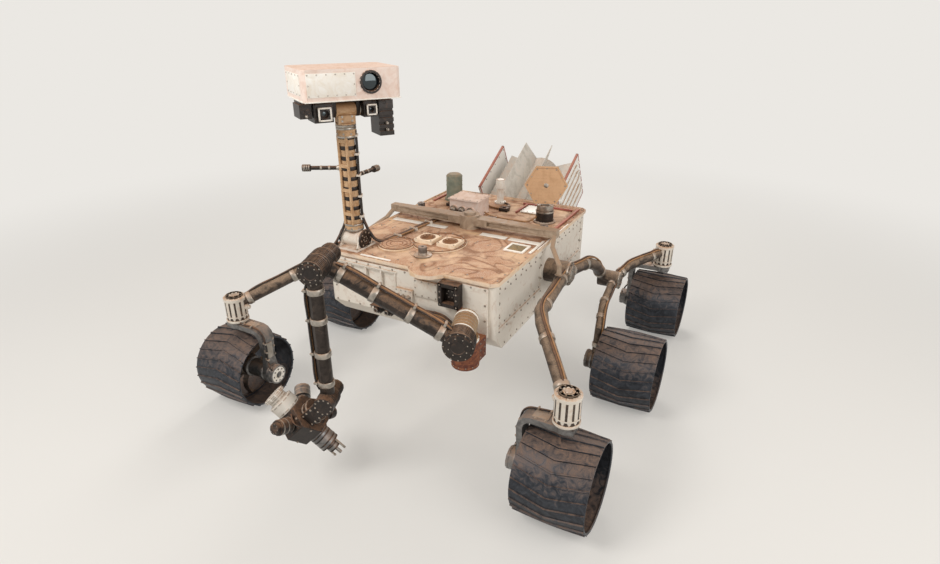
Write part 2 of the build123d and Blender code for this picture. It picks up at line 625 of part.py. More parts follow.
# Arm: fixed shoulder housing, then azimuth, shoulder, elbow, wrist and turret
with BuildPart() as shoulder_housing:
    faceted((SHOULDER_X, SHOULDER_Y, SHOULDER_BASE_Z - 160), (0, 0, 1), 76, 160)
    faceted((SHOULDER_X, SHOULDER_Y, SHOULDER_BASE_Z - 176), (0, 0, 1), 52, 16, 12)
    box((SHOULDER_X - 65, SHOULDER_Y, SHOULDER_BASE_Z - 150),
        (SHOULDER_X + 65, PANEL_FRONT_Y, SHOULDER_BASE_Z - 20))
    box((SHOULDER_X - 215, PANEL_FRONT_Y - 56, DECK_Z - 150),
        (SHOULDER_X - 90, PANEL_FRONT_Y, DECK_Z - 8))
    box((SHOULDER_X - 195, PANEL_FRONT_Y - 60, DECK_Z - 130),
        (SHOULDER_X - 110, PANEL_FRONT_Y - 16, DECK_Z - 28), mode=Mode.SUBTRACT)
    box((SHOULDER_X - 105, PANEL_FRONT_Y - 40, SHOULDER_BASE_Z - 120),
        (SHOULDER_X - 90, PANEL_FRONT_Y, DECK_Z - 140))
    box((SHOULDER_X - 105, PANEL_FRONT_Y - 40, SHOULDER_BASE_Z - 120),
        (SHOULDER_X - 60, PANEL_FRONT_Y, SHOULDER_BASE_Z - 60))
put("shoulder_housing", shoulder_housing)

arm_place = Location((SHOULDER_X, SHOULDER_Y, 0), (0, 0, ARM_HEADING))
with BuildPart() as shoulder_yoke:
    faceted((0, 0, SHOULDER_BASE_Z + GAP), (0, 0, 1), 74, 30)
    box((-55, -58, SHOULDER_BASE_Z + 20), (55, 58, SHOULDER_Z))
    faceted((0, -60, SHOULDER_Z), (0, 1, 0), 70, 60 + UPPER_PLANE - LINK_HALF - GAP)
put("shoulder_yoke", shoulder_yoke, arm_place)

upper_place = arm_place * Location((0, 0, SHOULDER_Z), (0, -UPPER_RISE, 0))
with BuildPart() as upper_arm:
    faceted((0, UPPER_PLANE - LINK_HALF, 0), (0, 1, 0), 84, 2 * LINK_HALF)
    faceted((0, UPPER_PLANE, 0), (1, 0, 0), 42, UPPER_LENGTH, TUBE_SIDES)
    faceted((UPPER_LENGTH, UPPER_PLANE - LINK_HALF, 0), (0, 1, 0), 68, 2 * LINK_HALF)
    faceted((UPPER_LENGTH, UPPER_PLANE - LINK_HALF - 100, 0), (0, 1, 0), 54, 100, 12)
put("upper_arm", upper_arm, upper_place)

fore_place = upper_place * Location((UPPER_LENGTH, 0, 0), (0, UPPER_RISE + FORE_DROP, 0))
with BuildPart() as forearm:
    faceted((0, UPPER_PLANE + LINK_HALF + GAP, 0), (0, 1, 0), 66, 2 * LINK_HALF)
    faceted((0, FORE_PLANE, 0), (1, 0, 0), 38, FORE_LENGTH, TUBE_SIDES)
    faceted((FORE_LENGTH, FORE_PLANE - 45, 0), (0, 1, 0), 54, 45 + WRIST_HALF)
    faceted((FORE_LENGTH, FORE_PLANE - 125, 0), (0, 1, 0), 44, 80, 12)
put("forearm", forearm, fore_place)

wrist_place = fore_place * Location((FORE_LENGTH, 0, 0), (0, -WRIST_DROP, 0))
wrist_face = TURRET_REACH - TURRET_DEPTH / 2
with BuildPart() as wrist:
    faceted((0, FORE_PLANE + WRIST_HALF + GAP, 0), (0, 1, 0), 54, 40)
    box((0, FORE_PLANE + WRIST_HALF + GAP, -42),
        (wrist_face, FORE_PLANE + WRIST_HALF + 34, 42))
    faceted((wrist_face - 48, FORE_PLANE, 0), (1, 0, 0), 66, 48)
put("wrist", wrist, wrist_place)

turret_place = wrist_place * Location((wrist_face + GAP, FORE_PLANE, 0))
with BuildPart() as turret:
    with BuildSketch(Plane.YZ) as turret_section:
        RegularPolygon(TURRET_RADIUS, 6)
    extrude(turret_section.sketch, amount=TURRET_DEPTH)
    chamfer(turret.faces().sort_by(Axis.X)[-1].edges(), length=10)
    faceted((TURRET_DEPTH, 0, 0), (1, 0, 0), 60, 10, 12)
put("turret", turret, turret_place)

# Tools on the turret's flats: name, angle, then radius, start and length of each stage
flat = TURRET_RADIUS * cos(radians(30))
tool_table = (
    ("drill", 270, ((56, 0, 96), (34, 96, 40), (9, 136, 44))),
    ("sample_processor", 90, ((70, 0, 70), (50, 70, 30), (62, 100, 20))),
    ("lens_camera", 30, ((42, 0, 90), (30, 90, 22))),
    ("sensor_head", 150, ((30, 0, 50), (44, 50, 70))),
    ("brush", 210, ((30, 0, 92), (38, 92, 40))),
)
for tool, angle, stages in tool_table:
    out = (0, cos(radians(angle)), sin(radians(angle)))
    with BuildPart() as tool_part:
        for radius, start, length in stages:
            reach = flat + start
            faceted((TURRET_DEPTH / 2, reach * out[1], reach * out[2]), out, radius, length, 12)
    put(tool, tool_part, turret_place)

# Power source: finned drum, tilted up behind the stern, with its cradle and exchangers
power_place = Location((0, POWER_Y, POWER_Z), (POWER_TILT, 0, 0))
with BuildPart() as power_source:
    faceted((0, 0, 0), (0, 1, 0), POWER_CORE, POWER_LENGTH)
    with BuildSketch(Plane.XZ) as fins:
        with PolarLocations(0, FIN_COUNT, start_angle=180 / FIN_COUNT):
            with Locations((POWER_FIN / 2, 0)):
                Rectangle(POWER_FIN, 6)
    extrude(fins.sketch, amount=-POWER_LENGTH)
    faceted((0, POWER_LENGTH, 0), (0, 1, 0), POWER_CORE - 40, 18, 12)
put("power_source", power_source, power_place)

axis_run = (0, cos(radians(POWER_TILT)), sin(radians(POWER_TILT)))
with BuildPart() as power_cradle:
    faceted((0, POWER_Y, POWER_Z), tuple(-step for step in axis_run), CRADLE_RADIUS, 94)
    box((-75, BODY_REAR_Y, POWER_Z - 120), (75, BODY_REAR_Y + 70, POWER_Z + 10))
    for hand in (1, -1):
        strut(
            (
                (hand * 220, BODY_REAR_Y, POWER_Z - 185),
                (hand * 220, BODY_REAR_Y + 50, POWER_Z - 185),
                (hand * 50, POWER_Y - 50, POWER_Z - 80),
            ),
            16,
            8,
        )
put("power_cradle", power_cradle)

with BuildPart() as heat_exchangers:
    for hand in (1, -1):
        box((hand * EXCHANGER_X, POWER_LENGTH / 2 - EXCHANGER_LENGTH / 2, 20 - EXCHANGER_HEIGHT / 2),
            (hand * (EXCHANGER_X + 18), POWER_LENGTH / 2 + EXCHANGER_LENGTH / 2,
             20 + EXCHANGER_HEIGHT / 2))
        strut(
            (
                (hand * (CRADLE_RADIUS + GAP), -50, 0),
                (hand * (CRADLE_RADIUS + 90), -50, 0),
                (hand * (EXCHANGER_X - 60), 70, 0),
                (hand * (EXCHANGER_X + 5), 70, 0),
            ),
            12,
            8,
        )
        for pipe in range(5):
            pipe_z = 20 + (pipe - 2) * EXCHANGER_HEIGHT / 6
            box((hand * (EXCHANGER_X + 18), 40, pipe_z - 8),
                (hand * (EXCHANGER_X + 28), POWER_LENGTH - 40, pipe_z + 8))
put("heat_exchangers", heat_exchangers, power_place)

# Antennas on the rear deck
with BuildPart() as uhf_antenna:
    faceted(UHF_PLACE, (0, 0, 1), UHF_RADIUS + 12, 16)
    faceted(UHF_PLACE, (0, 0, 1), UHF_RADIUS, UHF_HEIGHT)
    chamfer(uhf_antenna.faces().sort_by(Axis.Z)[-1].edges(), length=14)
put("uhf_antenna", uhf_antenna)

with BuildPart() as low_gain_antenna:
    faceted((LOW_GAIN_X, LOW_GAIN_Y, DECK_TOP_Z), (0, 0, 1), 44, 14, 12)
    faceted((LOW_GAIN_X, LOW_GAIN_Y, DECK_TOP_Z), (0, 0, 1), 26, LOW_GAIN_STEM + 10, 12)
    faceted((LOW_GAIN_X, LOW_GAIN_Y, DECK_TOP_Z + LOW_GAIN_STEM), (0, 0, 1), 34, 70, 12)
put("low_gain_antenna", low_gain_antenna)

# Lifting sockets on the deck: a post with a blind bore
with BuildPart() as bridle_sockets:
    for x, y in SOCKET_PLACES:
        faceted((x, y, DECK_TOP_Z), (0, 0, 1), SOCKET_POST, SOCKET_HEIGHT, 8)
        with BuildSketch(Plane.XY.offset(DECK_TOP_Z + SOCKET_HEIGHT)) as bore:
            with Locations((x, y)):
                Circle(SOCKET_BORE)
        extrude(bore.sketch, amount=-SOCKET_DEPTH, mode=Mode.SUBTRACT)
put("bridle_sockets", bridle_sockets)

with BuildPart() as pyro_box:
    box((PYRO_X - PYRO_HALF_WIDTH, PYRO_Y - PYRO_HALF_DEPTH, DECK_TOP_Z),
        (PYRO_X + PYRO_HALF_WIDTH, PYRO_Y + PYRO_HALF_DEPTH, PYRO_LID_Z))
    box((PYRO_X - PYRO_HALF_WIDTH - 10, PYRO_Y - PYRO_HALF_DEPTH - 10, PYRO_LID_Z),
        (PYRO_X + PYRO_HALF_WIDTH + 10, PYRO_Y + PYRO_HALF_DEPTH + 10, PYRO_LID_Z + 12))
    for plug in (-70, 0, 70):
        faceted((PYRO_X + plug, PYRO_Y - PYRO_HALF_DEPTH, DECK_TOP_Z + 55), (0, -1, 0), 24, 22, 8)
put("pyro_box", pyro_box)

# Sample inlets: square covers with a funnel on one round plate, and a second round hatch
# plate: across, along, radius, height
inlet_plates = ((-20, -400, 178, 6), (-250, -560, 120, 10))
# cover: across, along, half its width, funnel radius
inlet_covers = ((-105, -410, 66, 42), (65, -410, 66, 42))
with BuildPart() as sample_inlets:
    for x, y, radius, height in inlet_plates:
        faceted((x, y, DECK_TOP_Z), (0, 0, 1), radius, height, 20)
    for x, y, half, funnel in inlet_covers:
        box((x - half, y - half, DECK_TOP_Z), (x + half, y + half, DECK_TOP_Z + 30))
        faceted((x, y, DECK_TOP_Z + 10), (0, 0, 1), funnel, 40, 12, mode=Mode.SUBTRACT)
put("sample_inlets", sample_inlets)

# Hazard cameras: pairs of boxes under a hood, each with a lens barrel
with BuildPart() as front_cameras:
    for x in (-190, -110, 110, 190):
        box((x - 26, PANEL_FRONT_Y - 44, BELLY_Z + 125), (x + 26, PANEL_FRONT_Y, BELLY_Z + 175))
        faceted((x, PANEL_FRONT_Y - 44, BELLY_Z + 150), (0, -1, 0), 17, 16, 8)
    for hand in (1, -1):
        box((hand * 70, PANEL_FRONT_Y - 62, BELLY_Z + 175),
            (hand * 230, PANEL_FRONT_Y, BELLY_Z + 181))
put("front_cameras", front_cameras)

with BuildPart() as rear_cameras:
    for x in (-480, 480):
        box((x - 65, BODY_REAR_Y, BELLY_Z + 164), (x + 65, BODY_REAR_Y + 60, BELLY_Z + 216))
        for eye in (-36, 36):
            faceted((x + eye, BODY_REAR_Y + 60, BELLY_Z + 190), (0, 1, 0), 17, 14, 8)
put("rear_cameras", rear_cameras)

# Shift the whole rover so that the origin is under the middle of its outline
extents = [piece.bounding_box() for piece in pieces.values()]
middle_x = (min(each.min.X for each in extents) + max(each.max.X for each in extents)) / 2
middle_y = (min(each.min.Y for each in extents) + max(each.max.Y for each in extents)) / 2
print("middle of the outline", middle_x, middle_y)
for name, piece in pieces.items():
    placed = piece.moved(Location((-middle_x, -middle_y, 0)))
    placed.label = name
    export_step(placed, "parts/" + name + ".step")
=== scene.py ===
# %% [markdown]
# # A dusty six-wheeled planetary rover
# The rover's exact parts come from its engineering model as a fixed frame of bodies and nodes.
# Blender only dresses them: rounder edges, finer wheels, cables, lenses, bolts and finishes.
# Loading the frame first means that every later piece can be placed by the size of a real part.

import json
import math

import bmesh
import bpy
from mathutils import Matrix, Vector

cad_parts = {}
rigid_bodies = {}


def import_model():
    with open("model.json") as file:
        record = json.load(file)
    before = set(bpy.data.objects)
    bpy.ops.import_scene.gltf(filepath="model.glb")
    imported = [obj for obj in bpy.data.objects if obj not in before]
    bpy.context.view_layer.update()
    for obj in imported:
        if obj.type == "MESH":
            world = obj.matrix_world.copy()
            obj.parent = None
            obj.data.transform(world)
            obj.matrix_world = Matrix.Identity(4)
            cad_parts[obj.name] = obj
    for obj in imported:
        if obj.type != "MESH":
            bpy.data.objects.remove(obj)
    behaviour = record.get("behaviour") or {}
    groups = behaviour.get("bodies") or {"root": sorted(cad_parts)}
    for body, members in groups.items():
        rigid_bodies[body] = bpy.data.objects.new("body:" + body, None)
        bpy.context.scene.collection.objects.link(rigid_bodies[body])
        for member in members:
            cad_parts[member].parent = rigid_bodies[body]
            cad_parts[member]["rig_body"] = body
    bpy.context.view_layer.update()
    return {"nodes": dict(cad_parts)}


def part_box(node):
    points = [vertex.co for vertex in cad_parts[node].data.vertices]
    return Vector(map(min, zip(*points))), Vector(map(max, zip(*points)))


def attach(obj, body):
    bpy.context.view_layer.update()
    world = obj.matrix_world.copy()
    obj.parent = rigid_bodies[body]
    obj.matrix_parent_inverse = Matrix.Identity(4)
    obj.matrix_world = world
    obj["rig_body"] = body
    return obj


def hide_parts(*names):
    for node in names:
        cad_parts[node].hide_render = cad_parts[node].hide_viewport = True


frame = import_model()

# %% [markdown]
# The engineering model was drawn about the middle of its chassis and then shifted along Y.
# One wheel's box gives that shift back, so drawing sizes can be used here in millimetres.
# Keeping the drawing's own numbers means that every place here can be read off its dimensions.

# %% Drawing units and the shift of the drawing
MM = 0.001
MIDDLE_WHEEL_Y = 30
low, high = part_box("wheel_middle_left")
SHIFT_Y = (low.y + high.y) / 2 - MIDDLE_WHEEL_Y * MM
print("shift of the drawing", round(SHIFT_Y, 4), "m")

# %% [markdown]
# Colours are written as the hex values that a screen shows, because those can be read off a
# photograph of the finish. Shaders want linear light, so one function turns one into the other.
# A second small function adds a shader node with its settings and its links in one call.

# %% Colour and node helpers


def linear(hex_colour):
    """An sRGB hex colour as the linear RGBA that a shader socket wants."""
    channels = [int(hex_colour[i:i + 2], 16) / 255 for i in (1, 3, 5)]
    curve = [c / 12.92 if c <= 0.04045 else ((c + 0.055) / 1.055) ** 2.4 for c in channels]
    return (*curve, 1.0)


def add(tree, kind, inputs=None, **settings):
    """Add a node, give it its settings, then fill or link its inputs."""
    node = tree.nodes.new(kind)
    for key, value in settings.items():
        setattr(node, key, value)
    for key, value in (inputs or {}).items():
        if isinstance(value, bpy.types.NodeSocket):
            tree.links.new(value, node.inputs[key])
        else:
            node.inputs[key].default_value = value
    return node


print("white paint in linear light", [round(c, 3) for c in linear("#e8e2d8")])

# %% [markdown]
# Years of wind have laid fine ochre dust on every surface that faces up, in drifts and smears,
# while upright faces keep more of their own colour. Painting that by hand would take an age.
# Instead one finish is built from three real things: the bare surface, the dust, and a mask that
# grows with how much the surface faces up and is broken by noise of a few real sizes.

# %% A finish under dust


def dusty_finish(name, bare, dust, cover, roughness, metallic=0.0, drift_mm=70, grain_mm=5,
                 relief_mm=0.5, bare_dark=None, shade=0.35, patchy=1.9, swirl_mm=0.0):
    """A surface of its own colour with dust over it.

    cover is how much dust an upright face holds, from 0 to 1; faces that look up hold more.
    drift_mm is the size of the drifts, grain_mm that of the speckle, relief_mm its depth.
    patchy is the contrast of the drifts, swirl_mm the size of dark swirls blown into the dust.
    """
    material = bpy.data.materials.new(name)
    material.use_nodes = True
    tree = material.node_tree
    shader = tree.nodes["Principled BSDF"]
    where = add(tree, "ShaderNodeTexCoord")
    facing = add(tree, "ShaderNodeSeparateXYZ", {"Vector": where.outputs["Normal"]})
    drifts = add(tree, "ShaderNodeTexNoise", {
        "Vector": where.outputs["Object"], "Scale": 1 / (drift_mm * MM), "Detail": 5.0,
        "Roughness": 0.62, "Distortion": 1.3})
    grain = add(tree, "ShaderNodeTexNoise", {
        "Vector": where.outputs["Object"], "Scale": 1 / (grain_mm * MM), "Detail": 3.0,
        "Roughness": 0.6})
    up = add(tree, "ShaderNodeMapRange", {
        "Value": facing.outputs["Z"], "From Min": -0.35, "From Max": 0.9,
        "To Min": cover - 0.45, "To Max": cover + 0.55})
    broken = add(tree, "ShaderNodeMath", {
        0: drifts.outputs["Fac"], 1: patchy}, operation="MULTIPLY_ADD")
    tree.links.new(up.outputs["Result"], broken.inputs[2])
    amount = add(tree, "ShaderNodeMapRange", {
        "Value": broken.outputs["Value"], "From Min": 0.95, "From Max": 1.75})
    speck = add(tree, "ShaderNodeMapRange", {
        "Value": grain.outputs["Fac"], "From Min": 0.36, "From Max": 0.66,
        "To Min": 0.55, "To Max": 1.0})
    mask = add(tree, "ShaderNodeMath", {
        0: amount.outputs["Result"], 1: speck.outputs["Result"]},
        operation="MULTIPLY", use_clamp=True)
    worn = add(tree, "ShaderNodeMapRange", {
        "Value": drifts.outputs["Fac"], "From Min": 0.35, "From Max": 0.7})
    own = add(tree, "ShaderNodeMix", {
        "Factor": worn.outputs["Result"], 6: linear(bare_dark or bare), 7: linear(bare)},
        data_type="RGBA")
    dust_dark = [c * (1 - shade) for c in linear(dust)[:3]] + [1.0]
    powder = add(tree, "ShaderNodeMix", {
        "Factor": grain.outputs["Fac"], 6: dust_dark, 7: linear(dust)}, data_type="RGBA")
    colour = add(tree, "ShaderNodeMix", {
        "Factor": mask.outputs["Value"], 6: own.outputs[2], 7: powder.outputs[2]},
        data_type="RGBA")
    if swirl_mm:
        eddies = add(tree, "ShaderNodeTexNoise", {
            "Vector": where.outputs["Object"], "Scale": 1 / (swirl_mm * MM), "Detail": 1.2,
            "Roughness": 0.5, "Distortion": 1.8})
        aside = add(tree, "ShaderNodeMath", {0: eddies.outputs["Fac"], 1: 0.5},
                    operation="SUBTRACT")
        near = add(tree, "ShaderNodeMath", {0: aside.outputs["Value"]}, operation="ABSOLUTE")
        line = add(tree, "ShaderNodeMapRange", {
            "Value": near.outputs["Value"], "From Min": 0.006, "From Max": 0.05,
            "To Min": 0.7, "To Max": 0.0})
        in_dust = add(tree, "ShaderNodeMath", {
            0: line.outputs["Result"], 1: amount.outputs["Result"]}, operation="MULTIPLY")
        brown = [c * 0.36 for c in linear(dust)[:3]] + [1.0]
        colour = add(tree, "ShaderNodeMix", {
            "Factor": in_dust.outputs["Value"], 6: colour.outputs[2], 7: brown}, data_type="RGBA")
    rough = add(tree, "ShaderNodeMapRange", {
        "Value": mask.outputs["Value"], "To Min": roughness, "To Max": 0.95})
    sheen_of_metal = add(tree, "ShaderNodeMapRange", {
        "Value": mask.outputs["Value"], "To Min": metallic, "To Max": 0.0})
    bump = add(tree, "ShaderNodeBump", {
        "Height": grain.outputs["Fac"], "Strength": 0.6, "Distance": relief_mm * MM})
    tree.links.new(colour.outputs[2], shader.inputs["Base Color"])
    tree.links.new(rough.outputs["Result"], shader.inputs["Roughness"])
    tree.links.new(sheen_of_metal.outputs["Result"], shader.inputs["Metallic"])
    tree.links.new(bump.outputs["Normal"], shader.inputs["Normal"])
    return material


print("a finish under dust can be mixed")

# %% [markdown]
# The rover wears white and tan paint, dark anodised metal, titanium tube and cable jacket. They
# differ in their own colour, in how dark the worn places are, in dust and in shine. One table of
# calls to the same function keeps them alike in kind, and a colour is then changed in one place.

# %% The rover's finishes
finishes = {
    "dusty_white_paint": dusty_finish("white_satin_paint_dusty", "#ded5c8", "#b98358", 0.12, 0.5,
                                      drift_mm=60, shade=0.4),
    "deck_paint": dusty_finish("white_deck_paint_dusty", "#efe4d4", "#b8743e", -0.4, 0.6,
                               drift_mm=210, bare_dark="#d9b48c", shade=0.5, patchy=3.0,
                               swirl_mm=330),
    "inlet_paint": dusty_finish("cream_cover_paint", "#f0e0c9", "#cf9a6a", -0.3, 0.55,
                                bare_dark="#dfc3a0"),
    "brown_ring_paint": dusty_finish("brown_seal_ring", "#8a5c39", "#b07b4e", -0.2, 0.7,
                                     bare_dark="#6b4528"),
    "bar_paint": dusty_finish("grey_tan_bar_paint", "#b5a18b", "#a57b57", 0.0, 0.5,
                              bare_dark="#8c7763"),
    "mast_paint": dusty_finish("tan_dusty_mast_paint", "#d6b893", "#ac7547", 0.22, 0.6,
                               drift_mm=50, bare_dark="#a87f56"),
    "capsule_paint": dusty_finish("tan_dusty_capsule_paint", "#cdb493", "#8f6339", 0.2, 0.6,
                                  bare_dark="#9a7a57"),
    "grey_green_paint": dusty_finish("grey_green_antenna_paint", "#868a78", "#a58160", 0.05, 0.6,
                                     bare_dark="#676b5c"),
    "red_edge_paint": dusty_finish("pink_red_edge_paint", "#b4685a", "#c08a6c", 0.0, 0.6,
                                   bare_dark="#8f4a40"),
    "clean_white_paint": dusty_finish("white_radiator_paint", "#f1eee8", "#d8b48e", -0.25, 0.45),
    "head_paint": dusty_finish("white_head_paint", "#efe0d6", "#d3a37f", 0.02, 0.5,
                               bare_dark="#dfc4b4"),
    "wheel_aluminium": dusty_finish("black_anodised_aluminium", "#464a51", "#8a6a52", -0.11, 0.42,
                                    0.55, drift_mm=45, bare_dark="#292b30"),
    "tube_metal": dusty_finish("dark_titanium_tube", "#453c36", "#96704f", -0.04, 0.4, 0.6,
                               drift_mm=45, bare_dark="#2a2420"),
    "suspension_tube": dusty_finish("dusty_suspension_tube", "#5a4e45", "#ad9075", 0.14, 0.45,
                                    0.5, drift_mm=60, bare_dark="#382f29"),
    "machined_aluminium": dusty_finish("machined_aluminium", "#8f8d8b", "#a37c5b", -0.08, 0.36,
                                       0.8, bare_dark="#62605f"),
    "dark_housing": dusty_finish("black_anodised_housing", "#332a25", "#8f6648", 0.0, 0.42, 0.3,
                                 drift_mm=40, bare_dark="#1f1916"),
    "red_brown_housing": dusty_finish("rust_brown_primer", "#7a4531", "#b3744c", 0.3, 0.7,
                                      bare_dark="#54291d"),
    "dish_paint": dusty_finish("tan_matt_dish_paint", "#c8a07a", "#b58960", 0.2, 0.75,
                               drift_mm=120),
    "graphite_coating": dusty_finish("pale_grey_emissive_coating", "#dfd9d0", "#c49c79", -0.2,
                                     0.65, bare_dark="#beb6aa"),
    "spoke_titanium": dusty_finish("bent_titanium_strip", "#6d655e", "#9c7453", 0.05, 0.38, 0.8,
                                   bare_dark="#4d4640"),
    "bare_machined": dusty_finish("bright_machined_aluminium", "#b9b2a8", "#b98a62", 0.0, 0.32,
                                  0.85, grain_mm=3, relief_mm=0.2, bare_dark="#8f887f"),
    "white_drive_paint": dusty_finish("white_drive_paint", "#d3cabd", "#c08d60", 0.16, 0.5,
                                      grain_mm=4),
    "cable_dark": dusty_finish("black_cable_jacket", "#241f1c", "#8a6043", 0.1, 0.6,
                               grain_mm=3, relief_mm=0.4),
    "cable_tan": dusty_finish("tan_cable_wrap", "#a37a50", "#b9855a", 0.1, 0.75,
                              grain_mm=3, relief_mm=0.4, bare_dark="#7d5a38"),
    "bright_white_paint": dusty_finish("bright_white_paint", "#f4f1eb", "#d9b088", -0.38, 0.42,
                                       grain_mm=3, relief_mm=0.2, bare_dark="#e4dacb"),
    "olive_anodised": dusty_finish("olive_anodised_plate", "#6f6a48", "#a9814f", 0.0, 0.55,
                                   bare_dark="#4f4c33"),
}

print(len(finishes), "finishes under dust")

# %% [markdown]
# Lens glass is the one finish without dust. The real thing is polished, dark inside, and coated
# against reflections, which leaves a blue-green glint. Two shaders could be mixed for that, but
# the principled shader has a coat with a tint of its own, so its sockets are simply set.

# %% Lens glass
glass = bpy.data.materials.new("coated_optical_glass")
glass.use_nodes = True
pane = glass.node_tree.nodes["Principled BSDF"]
pane.inputs["Base Color"].default_value = linear("#10161d")
pane.inputs["Roughness"].default_value = 0.06
pane.inputs["Coat Weight"].default_value = 1.0
pane.inputs["Coat Roughness"].default_value = 0.03
pane.inputs["Coat Tint"].default_value = linear("#bfe0e6")
finishes["coated_glass"] = glass
print("glass makes it", len(finishes), "finishes")

# %% [markdown]
# A CAD part has perfectly sharp edges, and nothing real does. A sharp edge catches no light, which
# makes a model look like paper. Each shown node could be left as it is with a new material, or be
# copied, merged and given a narrow bevel. The copy costs little, gives every edge its highlight,
# and lets flats that meet at a small angle be shaded as the round housings that they stand for.

# %% Refined copies of the engineering nodes
# points nearer than this are one; flats within the first angle join; edges above the
# second one are rounded
MERGE_MM = 0.02
FLAT_ANGLE = 0.5
EDGE_ANGLE = 33


def smooth_round(mesh, angle):
    """Shade a mesh smooth, with a sharp crease wherever its faces meet at more than angle."""
    mesh.shade_smooth()
    mesh.set_sharp_from_angle(angle=math.radians(angle))


def refined(node, finish, edge_mm):
    """A bevelled, smoothly shaded copy of a CAD node that stands for it."""
    source = frame["nodes"][node]
    work = bmesh.new()
    work.from_mesh(source.data)
    bmesh.ops.remove_doubles(work, verts=work.verts, dist=MERGE_MM * MM)
    bmesh.ops.dissolve_limit(work, angle_limit=math.radians(FLAT_ANGLE),
                             verts=work.verts, edges=work.edges)
    mesh = bpy.data.meshes.new(node + "_fine")
    work.to_mesh(mesh)
    work.free()
    mesh.materials.clear()
    mesh.materials.append(finishes[finish])
    piece = bpy.data.objects.new(node + "_fine", mesh)
    bpy.context.scene.collection.objects.link(piece)
    edges = piece.modifiers.new("edge rounding", "BEVEL")
    edges.width = edge_mm * MM
    edges.segments = 2
    edges.limit_method = "ANGLE"
    edges.angle_limit = math.radians(EDGE_ANGLE)
    edges.use_clamp_overlap = True
    smooth_round(mesh, EDGE_ANGLE)
    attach(piece, source["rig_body"])
    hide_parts(node)


print("a node can be refined")

# %% [markdown]
# Which finish a node wears, and how wide its edges are broken, stands in one table. The first row
# that fits the start of a node's name counts, so one row serves all four corner brackets. The
# wheels are left out here, because finer wheels are built for them further down.

# %% Finish and edge of every node
# node name or its start, finish, edge in millimetres
node_finishes = (
    ("knuckle_", "machined_aluminium", 3.0),
    ("rocker_", "suspension_tube", 3.0),
    ("bogie_", "suspension_tube", 3.0),
    ("chassis", "dusty_white_paint", 4.0),
    ("top_deck", "deck_paint", 2.0),
    ("front_panel", "dusty_white_paint", 2.0),
    ("differential_bar", "bar_paint", 2.5),
    ("mast_base", "dusty_white_paint", 2.0),
    ("mast_tube", "mast_paint", 1.5),
    ("sensor_booms", "dark_housing", 1.5),
    ("head_yoke", "mast_paint", 2.0),
    ("camera_bar", "dark_housing", 2.0),
    ("telescope_box", "head_paint", 5.0),
    ("dish_base", "dark_housing", 2.0),
    ("dish_gimbal", "graphite_coating", 2.0),
    ("dish", "dish_paint", 1.5),
    ("shoulder_housing", "red_brown_housing", 3.0),
    ("shoulder_yoke", "capsule_paint", 3.0),
    ("upper_arm", "tube_metal", 2.5),
    ("forearm", "tube_metal", 2.5),
    ("wrist", "dark_housing", 2.5),
    ("turret", "dark_housing", 2.5),
    ("drill", "machined_aluminium", 2.0),
    ("sample_processor", "graphite_coating", 2.0),
    ("lens_camera", "dark_housing", 2.0),
    ("sensor_head", "machined_aluminium", 2.0),
    ("brush", "dark_housing", 2.0),
    ("power_source", "graphite_coating", 1.5),
    ("power_cradle", "tube_metal", 2.0),
    ("heat_exchangers", "clean_white_paint", 2.0),
    ("uhf_antenna", "grey_green_paint", 3.0),
    ("low_gain_antenna", "dusty_white_paint", 2.0),
    ("bridle_sockets", "machined_aluminium", 1.5),
    ("pyro_box", "head_paint", 3.0),
    ("sample_inlets", "inlet_paint", 2.0),
    ("front_cameras", "dark_housing", 1.5),
    ("rear_cameras", "dark_housing", 1.5),
)
dressed = [node for node in frame["nodes"] if not node.startswith("wheel_")]
for node in dressed:
    start, finish, edge_mm = next(row for row in node_finishes if node.startswith(row[0]))
    refined(node, finish, edge_mm)
print(len(dressed), "nodes refined")

# %% [markdown]
# Bolts, collars, lenses and cable runs come in the hundreds on such a machine. They are all
# turned, sawn or bent stock, so a few small tools make them. Each tool works in the local frame of
# the arm link, the mast head or the wheel that a part belongs to, in the drawing's millimetres,
# and small parts are poured into one larger piece that rides on a body.

# %% Making and seating a piece
# faces that meet at more than this keep a sharp crease
CREASE_ANGLE = 35


def new_piece(name, work, finish, body="rover", stands_for=()):
    """Turn built-up geometry into a named piece that rides on a body."""
    bmesh.ops.recalc_face_normals(work, faces=work.faces)
    mesh = bpy.data.meshes.new(name)
    work.to_mesh(mesh)
    work.free()
    mesh.materials.append(finishes[finish])
    smooth_round(mesh, CREASE_ANGLE)
    thing = bpy.data.objects.new(name, mesh)
    bpy.context.scene.collection.objects.link(thing)
    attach(thing, body)
    if stands_for:
        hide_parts(*stands_for)


def turn_to(axis):
    """The turn that lays a shape's own Z axis along an axis."""
    return Vector(axis).to_track_quat("Z", "Y").to_matrix().to_4x4()


def seat(local, place, axis):
    """The matrix that stands a shape's own Z axis on a place, along an axis, in a local frame."""
    return local @ Matrix.Translation(Vector(place) * MM) @ turn_to(axis)


def pour(part, work, matrix):
    """Put a finished small part at its place in a larger work, and let the small one go."""
    carrier = bpy.data.meshes.new("carrier")
    part.to_mesh(carrier)
    part.free()
    carrier.transform(matrix)
    work.from_mesh(carrier)
    bpy.data.meshes.remove(carrier)


print("pieces can be made and seated")

# %% [markdown]
# Most small parts of the rover are turned or sawn from bar. A cylinder primitive knows only one
# radius, so a profile of distances and radii is spun about its axis, as on a lathe. A sawn part
# is a cube, stretched to size, with its edges broken by a bevel.

# %% Lathe and saw
ORIGIN = (0, 0, 0)
PLUS_X, PLUS_Y, PLUS_Z = (1, 0, 0), (0, 1, 0), (0, 0, 1)
MINUS_X, MINUS_Y, MINUS_Z = (-1, 0, 0), (0, -1, 0), (0, 0, -1)


